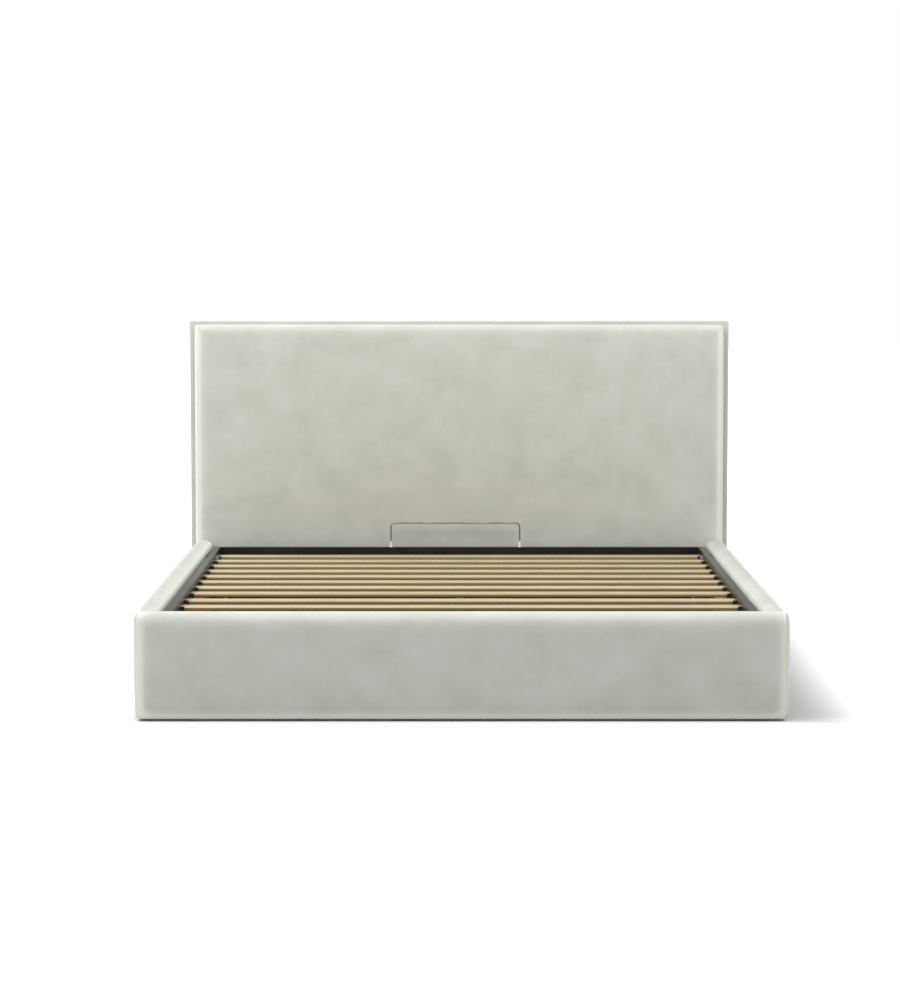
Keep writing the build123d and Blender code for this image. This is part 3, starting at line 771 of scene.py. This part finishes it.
# %% Section of a padded board
row_height = 0.026
corner_steps, dome_steps, roll_steps = 3, 5, 4
board_depth = board_high.x - board_low.x
pad_depth = rail_high.x - rail_inner
roll_reach = rail_inner - rail_low.x
dome_radius = 0.02821
bottom_radius = 0.008
roll_drop = 0.017
face_back, shoulder_back = 0.0025, 0.0005
cover_proud = 0.0055
cover_bottom = base_bottom - cover_proud
cover_top = base_top + cover_proud


def spun(bm, vertex, centre, degrees, steps):
    """Spin one point about a centre in the section's plane; return the last point."""
    made = bmesh.ops.spin(bm, geom=[vertex], cent=centre, axis=(0, -1, 0),
                          angle=math.radians(degrees), steps=steps)
    return [g for g in made["geom_last"] if isinstance(g, bmesh.types.BMVert)][0]


def drawn(bm, vertex, *spots):
    """Pull one point along a list of places; return the last point."""
    for spot in spots:
        made = bmesh.ops.extrude_vert_indiv(bm, verts=[vertex])
        vertex = made["verts"][0]
        vertex.co = Vector((spot[0], 0, spot[1]))
    return vertex


def even(start, end, count):
    """Places on a straight line, without its start."""
    return [(start[0] + (end[0] - start[0]) * k / count,
             start[1] + (end[1] - start[1]) * k / count) for k in range(1, count + 1)]


def pad_section(bm, fuller=0.0):
    """Section of the foam: outward is X, up is Z, the board's inner face is at X = 0."""
    face_x = pad_depth - face_back + fuller
    shoulder_x = pad_depth - shoulder_back + fuller
    ridge_x = shoulder_x - dome_radius
    shoulder_z = cover_top - dome_radius
    crown_rows = round((shoulder_z - cover_bottom - bottom_radius) / row_height)
    bottom_centre = (face_x - bottom_radius, 0, cover_bottom + bottom_radius)
    first = bm.verts.new((bottom_centre[0], 0, cover_bottom))
    last = spun(bm, first, bottom_centre, 90, corner_steps)
    face_line = even((last.co.x, last.co.z), (shoulder_x, shoulder_z), crown_rows)
    last = drawn(bm, last, *face_line)
    last = spun(bm, last, (ridge_x, 0, shoulder_z), 90, dome_steps)
    reach = ridge_x + roll_reach
    turn = 2 * math.atan(roll_drop / reach)
    roll_radius = reach / math.sin(turn)
    spun(bm, last, (ridge_x, 0, cover_top - roll_radius), math.degrees(turn), roll_steps)
    outer = list(bm.edges)
    rows = len(outer) - roll_steps
    start = bm.verts.new((board_depth, 0, cover_bottom))
    up_board = even((board_depth, cover_bottom), (board_depth, board_top), rows)
    over_board = even((board_depth, board_top), (0, board_top), roll_steps)
    drawn(bm, start, *up_board, *over_board)
    inner = [edge for edge in bm.edges if edge not in outer]
    bmesh.ops.bridge_loops(bm, edges=outer + inner)
    return rows


bm = bmesh.new()
section_rows = pad_section(bm)
print("section", len(bm.faces), "cells,", section_rows, "rows up the board")
bm.free()

# %% [markdown]
# ## Side rail pads
# A rail's pad is the section pulled out along the rail, with rounded ends. Where it lies
# against the board or the underside its edges stay sharp under the smoothing, and there the
# cloth is held; elsewhere it may swell. The left pad is the mirror image of the right one.
# Both stand a little fuller than the footboard's pad, as on the real bed.


# %% Side rail pads
def pull_out(bm, faces, distance, keep=False):
    """Extrude faces along Y and return the new end faces."""
    made = bmesh.ops.extrude_face_region(bm, geom=faces, use_keep_orig=keep)
    bmesh.ops.translate(bm, verts=along(made["geom"]), vec=(0, distance, 0))
    return [g for g in made["geom"] if isinstance(g, bmesh.types.BMFace)]


def outer_end_edges(bm, y, hidden):
    """Edges round the end of a pad at Y, without those where a test finds them hidden."""
    chosen = []
    for edge in bm.edges:
        if len(edge.link_faces) == 2 and all(abs(v.co.y - y) < 1e-6 for v in edge.verts):
            flat = [all(abs(v.co.y - y) < 1e-6 for v in f.verts) for f in edge.link_faces]
            middle = (edge.verts[0].co + edge.verts[1].co) / 2
            if flat.count(True) == 1 and not hidden(middle):
                chosen.append(edge)
    return chosen


touching = 0.0005


def on_underside(co):
    """Whether a place is on the underside of a cover."""
    return co.z < cover_bottom + touching


def near_board(co):
    """Whether a place is against the board or on the underside."""
    inside = (-touching < co.x < board_depth + touching
              and co.z < board_top + touching)
    return inside or on_underside(co)


def crease_board_edges(bm):
    """Keep the edges that lie near the board sharp under subdivision."""
    layer = bm.edges.layers.float.new("crease_edge")
    for edge in bm.edges:
        if all(near_board(v.co) for v in edge.verts):
            edge[layer] = 1.0


def rail_held(co):
    """Near the board, or on the inner part of either end."""
    place = Vector((abs(co.x) - rail_inner, co.y, co.z))
    at_end = co.y < rail_low.y + front_margin or co.y > rail_high.y - back_margin
    return near_board(place) or at_end and place.x < pad_depth - free_rim


pad_length = rail_high.y - rail_low.y
pad_cell = 0.028
rail_fuller = 0.0028
front_rounding, back_rounding = 0.005, 0.004
front_margin, back_margin, free_rim = 0.004, 0.002, 0.012
pad_swell = 0.0055
for side in ("right", "left"):
    bm = bmesh.new()
    pad_section(bm, rail_fuller)
    pull_out(bm, list(bm.faces), pad_length, keep=True)
    bmesh.ops.recalc_face_normals(bm, faces=bm.faces)
    round_edges(bm, outer_end_edges(bm, 0, near_board), front_rounding, 3)
    round_edges(bm, outer_end_edges(bm, pad_length, near_board), back_rounding, 2)
    into_cells(bm, 1, pad_cell)
    crease_board_edges(bm)
    turned = Matrix.Translation((rail_inner, rail_low.y, 0))
    if side == "left":
        turned = Matrix.Diagonal((-1, 1, 1, 1)) @ turned
    bmesh.ops.transform(bm, matrix=turned, verts=bm.verts)
    pad = make_piece(bm, "rail_velvet_" + side, "velvet", "bed_box",
                     ["side_rail_pad_" + side])
    stuff(pad, rail_held, pad_swell)
    mark_painted_highlight(pad, on_tops=0.0)
    subdivide(pad)

# %% [markdown]
# ## Footboard pad
# The footboard has the same section, but its cover also goes round both ends of the board.
# One half is made and mirrored: the whole section, board included, becomes the end cover, and
# only the foam part of it is pulled on to the middle.

# %% Footboard pad
half_width = foot_high.x
end_cover = half_width - footboard_high.x
foot_rounding = 0.007
bm = bmesh.new()
pad_section(bm)
line = [e for e in bm.edges if len(e.link_faces) == 1
        and all(abs(v.co.x - board_depth) < 1e-6 for v in e.verts)]
for _ in range(roll_steps):
    made = bmesh.ops.extrude_edge_only(bm, edges=line)
    bmesh.ops.translate(bm, verts=along(made["geom"]),
                        vec=(-board_depth / roll_steps, 0, 0))
    line = [g for g in made["geom"] if isinstance(g, bmesh.types.BMEdge)
            and all(abs(v.co.x - g.verts[0].co.x) < 1e-6 for v in g.verts)
            and len(g.link_faces) == 1]
bmesh.ops.remove_doubles(bm, verts=bm.verts, dist=merge_distance)
foam_faces = [f for f in bm.faces if f.calc_center_median().x > board_depth
              or f.calc_center_median().z > board_top]
pull_out(bm, list(bm.faces), -end_cover, keep=True)
middle = pull_out(bm, foam_faces, half_width - end_cover)
bmesh.ops.delete(bm, geom=middle, context="FACES")
bmesh.ops.recalc_face_normals(bm, faces=bm.faces)
round_edges(bm, outer_end_edges(bm, -end_cover, on_underside), foot_rounding, 3)
into_cells(bm, 1, pad_cell)
bmesh.ops.translate(bm, verts=bm.verts, vec=(0, end_cover - half_width, 0))
bmesh.ops.mirror(bm, geom=list(bm.verts) + list(bm.edges) + list(bm.faces),
                 matrix=Matrix.Identity(4), merge_dist=merge_distance, axis="Y")
crease_board_edges(bm)
turned = (Matrix.Translation((0, footboard_high.y, 0))
          @ Matrix.Rotation(math.radians(-90), 4, "Z"))
bmesh.ops.transform(bm, matrix=turned, verts=bm.verts)
foot_pad = make_piece(bm, "footboard_velvet", "velvet", "bed_box", ["footboard_pad"])


def foot_held(co):
    """Against the board, on the underside, or on the inner face of an end cover."""
    outward = footboard_high.y - co.y
    against = abs(co.x) < footboard_high.x + touching
    return (near_board(Vector((outward, 0, co.z))) and against
            or on_underside(co) or outward < touching and co.z < board_top)


stuff(foot_pad, foot_held, pad_swell)
mark_painted_highlight(foot_pad, highlight_strength=0.85)
subdivide(foot_pad)
low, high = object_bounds()
print("with pads", [round(v, 4) for v in high - low])

# %% [markdown]
# ## Headboard cushion
# The big front panel is one thick foam pad in a tight cover: a rounded block, crowned both
# ways, held flat at the back where it meets the board behind it. The crown is set first as a
# smooth rise, and the stuffing then fills the edges. The bright rims come from the sheen on
# those edges and from the highlight painted on the bends.


# %% Blocks of foam
def block(bm, low, high):
    """A cuboid between two corners."""
    bmesh.ops.create_cube(bm, size=1)
    low, high = Vector(low), Vector(high)
    bmesh.ops.scale(bm, vec=high - low, verts=bm.verts)
    bmesh.ops.translate(bm, vec=(low + high) / 2, verts=bm.verts)


def edges_where(bm, test):
    """Edges with both ends where a test holds."""
    return [e for e in bm.edges if all(test(v.co) for v in e.verts)]


def edges_along(bm, axis):
    """Edges that run along an axis."""
    return [e for e in bm.edges
            if abs((e.verts[1].co - e.verts[0].co).normalized()[axis]) > 0.99]


def cells_across(bm, face, depth=None):
    """Cells of one size over an upright face, and of another through its depth."""
    into_cells(bm, 0, face)
    into_cells(bm, 2, face)
    if depth:
        into_cells(bm, 1, depth)


# %% Cushion
cushion_crown = 0.0065
cushion_start = 0.004
cushion_lift = 0.001
cushion_swell = 0.0045
corner_radius = 0.014
rim_radius = 0.012
back_face = cushion_high.y
front_y = cushion_low.y + cushion_crown + cushion_start
bm = bmesh.new()
block(bm, cushion_low + Vector((0, cushion_crown + cushion_start, cushion_lift)),
      cushion_high)
round_edges(bm, edges_along(bm, 1), corner_radius, 4)
round_edges(bm, edges_where(bm, lambda co: abs(co.y - front_y) < 1e-5), rim_radius, 4)
cells_across(bm, face=0.030, depth=0.016)
half_across = cushion_high.x
half_up = (cushion_high.z - cushion_low.z) / 2
middle_z = (cushion_high.z + cushion_low.z) / 2
for vertex in bm.verts:
    across = 1 - (vertex.co.x / half_across) ** 2
    upwards = 1 - ((vertex.co.z - middle_z) / half_up) ** 2
    depth = max(0, (back_face - vertex.co.y) / (back_face - front_y))
    vertex.co.y -= cushion_crown * across * upwards * depth
cushion = make_piece(bm, "headboard_cushion_velvet", "velvet", "bed_box",
                     ["headboard_cushion"])
stuff(cushion, lambda co: co.y > back_face - touching, cushion_swell)
mark_painted_highlight(cushion, on_tops=0.15)
subdivide(cushion)


# %% [markdown]
# ## Headboard border
# Behind the cushion a padded frame runs all round. Its cover is pulled over thin foam, so its
# edges wander a little. A rectangle is inset to get the ring, pulled back to its depth, and
# its points are then moved by a slow noise, which is how such an edge looks on the real bed.
# Blender's vector noise starts from the clock, so a seed is set to get the same bed each time.


# %% Border
noise_seed = 7


def wander(bm, amount, pitch, freedom, shift):
    """Move points by a slow noise; freedom(co) gives how free each axis is."""
    noise.seed_set(noise_seed)
    for vertex in bm.verts:
        push = noise.noise_vector(vertex.co * pitch + Vector((shift, 0, 0)))
        free = freedom(vertex.co)
        vertex.co += Vector(push[k] * free[k] * amount for k in range(3))


def upright_grid(bm, columns, rows, width, height, middle):
    """A flat grid that stands across the bed, about a middle."""
    bmesh.ops.create_grid(bm, x_segments=columns, y_segments=rows, size=0.5,
                          matrix=Matrix.Rotation(math.radians(90), 4, "X"))
    bmesh.ops.scale(bm, vec=(width, 1, height), verts=bm.verts)
    bmesh.ops.translate(bm, vec=middle, verts=bm.verts)


def border_freedom(co):
    """Free sideways, a little to the front, and upwards only above the foot."""
    return (1, 0.6 if co.y < border_back else 0, 1 if co.z > border_foot else 0)


bar_width = 0.033
border_setback = 0.0012
border_corner, border_rim = 0.003, 0.005
border_back, border_foot = 1.08, 0.2
border_size = border_high - border_low
border_middle = (border_low + border_high) / 2
rim_y = border_low.y + border_setback
bm = bmesh.new()
upright_grid(bm, 1, 1, border_size.x - 0.002, border_size.z - 0.001,
             (border_middle.x, rim_y, border_middle.z))
ring = bmesh.ops.inset_region(bm, faces=list(bm.faces), thickness=bar_width, depth=0,
                              use_boundary=True, use_even_offset=True)
inside = [f for f in bm.faces if f not in ring["faces"]]
bmesh.ops.delete(bm, geom=inside, context="FACES")
deep = bmesh.ops.extrude_face_region(bm, geom=list(bm.faces), use_keep_orig=True)
bmesh.ops.translate(bm, verts=along(deep["geom"]), vec=(0, border_high.y - rim_y, 0))
bmesh.ops.recalc_face_normals(bm, faces=bm.faces)
outer_x = (border_size.x - bar_width) / 2
outer_z = (border_size.z - bar_width) / 2
corners = [e for e in edges_along(bm, 1) if abs(e.verts[0].co.x) > outer_x]
round_edges(bm, corners, border_corner, 2)
rim = edges_where(bm, lambda co: abs(co.y - rim_y) < 1e-5 and (
    abs(co.x) > outer_x or abs(co.z - border_middle.z) > outer_z))
round_edges(bm, rim, border_rim, 3)
cells_across(bm, face=0.024, depth=0.012)
wander(bm, amount=0.0013, pitch=3.5, freedom=border_freedom, shift=3.1)
border = make_piece(bm, "headboard_border_velvet", "velvet", "bed_box", ["headboard_border"])
mark_painted_highlight(border, highlight_strength=0.4, on_tops=0.0)
subdivide(border)

# %% [markdown]
# ## Lower headboard
# Under the cushion the headboard goes on as a solid block in the same velvet. Inside the box
# one sees it when the frame is up. Its cover is stretched flat, so it is only softly rounded.

# %% Lower headboard
lower_low, lower_high = box_of("headboard_lower_board")
side_gap, front_gap, top_gap = 0.0008, 0.001, 0.0004
front_zone = lower_low.y + 0.006
lower_rounding = 0.004
bm = bmesh.new()
block(bm, lower_low + Vector((side_gap, front_gap, 0)),
      lower_high - Vector((side_gap, 0, top_gap)))
round_edges(bm, edges_where(bm, lambda co: co.y < front_zone), lower_rounding, 3)
cells_across(bm, face=0.03)
wander(bm, amount=0.0012, pitch=7.0, shift=8.4,
       freedom=lambda co: (0, 1 if co.y < front_zone else 0, 0))
lower = make_piece(bm, "headboard_foot_velvet", "velvet", "bed_box",
                   ["headboard_lower_board"])
subdivide(lower)

# %% [markdown]
# ## Turned-in velvet and staples
# On a real upholstered board the cover is pulled over the top edge, turned down on the inside
# and stapled. One sees that as soon as the frame is tipped up. The flap is a thin band with a
# slightly uneven lower edge, and the staples are small bars, so each is only a plain block.


# %% Bands and staples
velvet_thickness = 0.0011
flap_top = board_top - 0.001
flap_drop = 0.034
flap_cell = 0.03
flap_uneven, flap_puff = 0.004, 0.0005


def band(name, start, end, inward):
    """A velvet flap on a board's inner face, from start to end, hanging from its top."""
    top, drop = flap_top, flap_drop
    start, end, inward = Vector(start), Vector(end), Vector(inward)
    length = (end - start).length
    run = (end - start) / length
    bm = bmesh.new()
    bmesh.ops.create_grid(bm, x_segments=round(length / flap_cell), y_segments=3, size=0.5)
    bmesh.ops.translate(bm, vec=(0.5, 0.5, 0), verts=bm.verts)
    for vertex in bm.verts:
        along_run, down = vertex.co.x, vertex.co.y
        uneven = flap_uneven * noise.noise(Vector((along_run * length * 9, 4.7, 0)))
        puff = flap_puff * (1 + noise.noise(Vector((along_run * length * 16, down * 2, 9))))
        place = start + run * (along_run * length) + inward * (puff + velvet_thickness / 2)
        place.z = top - down * (drop + uneven)
        vertex.co = place
    flap = make_piece(bm, name, "velvet", "bed_box")
    thicken(flap, velvet_thickness)
    print(name, round(length, 3), "m long")


def bars(name, places, size, finish, body):
    """Many small blocks of one size; each place is a centre and a turn about an axis."""
    bm = bmesh.new()
    for centre, angle, axis in places:
        made = bmesh.ops.create_cube(bm, size=1)["verts"]
        bmesh.ops.scale(bm, vec=size, verts=made)
        bmesh.ops.rotate(bm, verts=made, matrix=Matrix.Rotation(angle, 3, axis))
        bmesh.ops.translate(bm, vec=centre, verts=made)
    print(name, len(places), "bars")
    make_piece(bm, name, finish, body, smooth=False)


staple_length, staple_wire = 0.011, 0.0011


def staples(name, spots, depth, facing="Y"):
    """Staples seen from an axis; each spot is a centre and a tilt."""
    size = (staple_length, depth, staple_wire)
    if facing == "X":
        size = (depth, staple_length, staple_wire)
    places = [(centre, tilt, facing) for centre, tilt in spots]
    bars(name, places, size, "zinc_steel", "bed_box")


def hand_tilt(place, row):
    """The lean that a staple gun held by hand leaves, in radians."""
    return 0.18 * noise.noise(Vector((place * 40, row, 0)))


# %% Flaps on the rails
plate_low, plate_high = box_of("hinge_plate_right")
plate_gap = 0.004
staple_pitch, staple_margin = 0.055, 0.015
staple_out, staple_depth = 0.0022, 0.0007
staple_z = flap_top - flap_drop * 0.62
spots = []
for side, sign in (("right", 1), ("left", -1)):
    inner = sign * rail_inner
    spans = ((rail_low.y + 0.002, plate_low.y - plate_gap),
             (plate_high.y + plate_gap, rail_high.y - 0.004))
    for number, (near_y, far_y) in enumerate(spans, 1):
        band("rail_flap_%s_%d" % (side, number), (inner, near_y, 0), (inner, far_y, 0),
             (-sign, 0, 0))
        stapled = far_y - near_y - 2 * staple_margin
        count = int(stapled / staple_pitch)
        for k in range(count + 1):
            y = near_y + staple_margin + k * stapled / count
            spots.append(((inner - sign * staple_out, y, staple_z), hand_tilt(y, inner)))
staples("rail_staples", spots, staple_depth, "X")

# %% Flap on the footboard
inner_y = footboard_high.y
flap_half = rail_inner - 0.004
foot_staples, foot_pitch = 29, 0.056
band("footboard_flap", (-flap_half, inner_y, 0), (flap_half, inner_y, 0), (0, 1, 0))
spots = []
for k in range(foot_staples):
    x = (k - (foot_staples - 1) / 2) * foot_pitch
    spots.append(((x, inner_y + staple_out, staple_z), hand_tilt(x, 2)))
staples("footboard_staples", spots, staple_depth)

# %% [markdown]
# ## Back of the headboard
# The back is closed with a thin black lining, folded over at its edges and stapled. It is a
# sheet: a grid with a slow ripple, its rim raised where the fold makes it double, given its
# thickness by a modifier.

# %% Back lining
lining_low, lining_high = box_of("headboard_back_lining")
lining_size = lining_high - lining_low
lining_thickness = 0.0005
lining_margin = 0.002
hem, hem_step, hem_rise = 0.016, 0.0015, 0.0006
ripple_height, ripple_start = 0.0007, 0.05
middle = (lining_low + lining_high) / 2
bm = bmesh.new()
upright_grid(bm, 56, 30, lining_size.x - lining_margin, lining_size.z - lining_margin,
             (middle.x, lining_low.y + 0.0006, middle.z))
bmesh.ops.recalc_face_normals(bm, faces=bm.faces)
fold = bmesh.ops.inset_region(bm, faces=list(bm.faces), thickness=hem, depth=0,
                              use_boundary=True, use_even_offset=True)
bmesh.ops.inset_region(bm, faces=[f for f in bm.faces if f not in fold["faces"]],
                       thickness=hem_step, depth=0, use_even_offset=True)
for vertex in bm.verts:
    from_edge = min(vertex.co.x - lining_low.x, lining_high.x - vertex.co.x,
                    vertex.co.z - lining_low.z, lining_high.z - vertex.co.z)
    if from_edge < hem + 0.8 * hem_step:
        vertex.co.y += hem_rise
    else:
        ripple = noise.noise(Vector((vertex.co.x * 5, vertex.co.z * 3, 1.5)))
        rise = min(1, (from_edge - hem) / ripple_start)
        vertex.co.y += ripple_height * (0.5 + ripple) * rise
lining = make_piece(bm, "back_lining_sheet", "lining", "bed_box",
                    ["headboard_back_lining"])
thicken(lining, lining_thickness)

# %% Staples of the back lining
lining_staple_depth = 0.0006
edge_gap = 0.008
reach = 0.828
behind = lining_low.y + 0.0016
spaces_across, spaces_up = 30, 16
spots = []
for k in range(spaces_across + 1):
    x = k * 2 * reach / spaces_across - reach
    for z in (lining_low.z + edge_gap, lining_high.z - edge_gap):
        spots.append(((x, behind, z), 0.12 * math.sin(7.3 * k)))
for k in range(1, spaces_up):
    z = lining_low.z + edge_gap + k * (lining_size.z - 2 * edge_gap) / spaces_up
    for x in (lining_low.x + edge_gap, lining_high.x - edge_gap):
        spots.append(((x, behind, z), math.radians(90) + 0.12 * math.sin(5.1 * k)))
staples("lining_staples", spots, lining_staple_depth)

# %% [markdown]
# ## Dark sheet inside the headboard
# Inside the box the lower headboard is covered with a sheet of the same black lining, as
# painted
# shade: it makes the gap behind the storage look dark from the foot end, where there is only
# shadow. It is one flat sheet, stapled along its top.

# %% Inner lining, a dark sheet for painted shade
inner_width, inner_low, inner_high = 1.524, 0.036, 0.202
inner_face = rail_high.y - 0.0006
inner_spaces, inner_margin = 24, 0.015
# a black sheet standing in for the shade inside the box
bm = bmesh.new()
upright_grid(bm, 50, 6, inner_width, inner_high - inner_low,
             (0, inner_face, (inner_low + inner_high) / 2))
for vertex in bm.verts:
    ripple = noise.noise(Vector((vertex.co.x * 6, vertex.co.z * 4, 5.5)))
    vertex.co.y -= 0.0004 * (1 + ripple)
    vertex.co.z += 0.0012 * noise.noise(Vector((vertex.co.x * 11, 0, 2)))
shade_lining = make_piece(bm, "painted_shade_lining_sheet", "lining", "bed_box")
thicken(shade_lining, lining_thickness)
spots = []
for k in range(inner_spaces + 1):
    x = (k / inner_spaces - 0.5) * (inner_width - 2 * inner_margin)
    spots.append(((x, inner_face - 0.0013, inner_high - 0.009), 0.12 * math.sin(6.1 * k)))
staples("inner_lining_staples", spots, lining_staple_depth)

# %% [markdown]
# ## Pull strap
# A loop of webbing hangs from the foot tube, to lift the frame by. Its two ends lie on each
# other and are held by a screw. The band's path is drawn as a line, widened, and given its
# thickness; a stitched box shows where the ends are sewn.

# %% Pull strap
strap_low, strap_high = box_of("pull_strap")
strap_size = strap_high - strap_low
tape = 0.0016
top_z = strap_high.z - 0.001
waist_z = 0.226
bow = ((-0.0001, 0.176), (0.001, 0.190), (0.0045, 0.204), (0.0105, 0.217), (0.0165, 0.2265))
flat_part = (0.235, 0.246, top_z)
first_x = tape / 2 + 0.0001
radius = (strap_size.y - tape) / 2 - 0.0002
bulge = first_x + 2 * radius
second_x = first_x + tape + 0.0002
turn_z = strap_low.z + tape / 2 + radius
bm = bmesh.new()
last = bm.verts.new((first_x, 0, top_z))
last = drawn(bm, last, *even((first_x, top_z), (first_x, waist_z), 3),
             *even((first_x, waist_z), (first_x, turn_z), 6))
last = spun(bm, last, (first_x + radius, 0, turn_z), 180, 10)
drawn(bm, last, *((bulge - inwards, z) for inwards, z in bow),
      *((second_x, z) for z in flat_part))
made = bmesh.ops.extrude_edge_only(bm, edges=list(bm.edges))
bmesh.ops.translate(bm, verts=along(made["geom"]), vec=(0, strap_size.x, 0))
into_cells(bm, 1, strap_size.x / 4)
swap_axes = Matrix(((0, 1, 0, 0), (1, 0, 0, 0), (0, 0, 1, 0), (0, 0, 0, 1)))
bmesh.ops.transform(bm, verts=bm.verts,
                    matrix=Matrix.Translation((strap_low.x, strap_low.y, 0)) @ swap_axes)
strap = make_piece(bm, "pull_strap_webbing", "webbing", "slat_frame", ["pull_strap"])
thicken(strap, tape).use_even_offset = True
soft = strap.modifiers.new("edges", "BEVEL")
soft.width = 0.0004
soft.segments = 1
print("strap", [round(v, 4) for v in strap_size])

# %% Stitches and screw
stitch_y = strap_low.y + second_x + tape / 2 + 0.0002
middle_x = (strap_low.x + strap_high.x) / 2
sewn_half, sewn_low, sewn_high = 0.0125, 0.2325, 0.2535
pitch = 0.0035
stitches = []
for k in range(7):
    x = middle_x + (k - 3) * pitch
    stitches += [((x, stitch_y, z), 0, "Y") for z in (sewn_low, sewn_high)]
for k in range(6):
    z = sewn_low + 0.002 + k * pitch
    stitches += [((middle_x + side * sewn_half, stitch_y, z), math.radians(90), "Y")
                 for side in (-1, 1)]
bars("pull_strap_stitches", stitches, (0.0024, 0.0006, 0.0006), "white_plastic",
     "slat_frame")
bm = bmesh.new()
screw_at = Matrix.Translation((middle_x, stitch_y + 0.0011, 0.243))
bmesh.ops.create_cone(bm, cap_ends=True, segments=24, radius1=0.0055, radius2=0.0035,
                      depth=0.0022,
                      matrix=screw_at @ Matrix.Rotation(math.radians(-90), 4, "X"))
make_piece(bm, "pull_strap_screw", "zinc_steel", "slat_frame")

# %% [markdown]
# ## Weld beads
# The frame is welded from tube. The beads in the corners and under the lugs were painted with
# the tube. A bead is a row of small drops that overlap.


# %% Welds
bead_pitch = 0.0032


def bead(bm, start, end, radius):
    """A row of overlapping drops from start to end."""
    start, end = Vector(start), Vector(end)
    count = max(2, round((end - start).length / bead_pitch))
    for k in range(count + 1):
        wobble = 0.00025 * noise.noise(Vector((k * 0.9, start.x * 9, start.y * 9)))
        made = bmesh.ops.create_icosphere(bm, subdivisions=1, radius=radius + wobble)["verts"]
        bmesh.ops.translate(bm, vec=start.lerp(end, k / count), verts=made)


head_y = box_of("head_tube")[0].y
end_y = box_of("foot_tube")[1].y
beam_low, beam_high = box_of("centre_beam")
lug_near_x, lug_far_x = 0.782, 0.798
corner_bead, beam_bead, lug_bead = 0.0019, 0.0018, 0.0017
bm = bmesh.new()
beads = 0
for side, sign in (("left", -1), ("right", 1)):
    lug_low, lug_high = box_of("strut_lug_" + side)
    for y in (head_y, end_y):
        x = sign * tube_low.x
        bead(bm, (x, y, tube_low.z + 0.002), (x, y, tube_high.z - 0.002), corner_bead)
    for y in (beam_low.y, beam_high.y):
        x = sign * beam_high.x
        bead(bm, (x, y, beam_low.z + 0.001), (x, y, beam_high.z - 0.001), beam_bead)
    for y in (lug_low.y, lug_high.y):
        bead(bm, (sign * lug_near_x, y, tube_low.z), (sign * lug_far_x, y, tube_low.z),
             lug_bead)
    beads += 6
make_piece(bm, "frame_welds", "frame_steel", "slat_frame")
print("weld beads", beads)
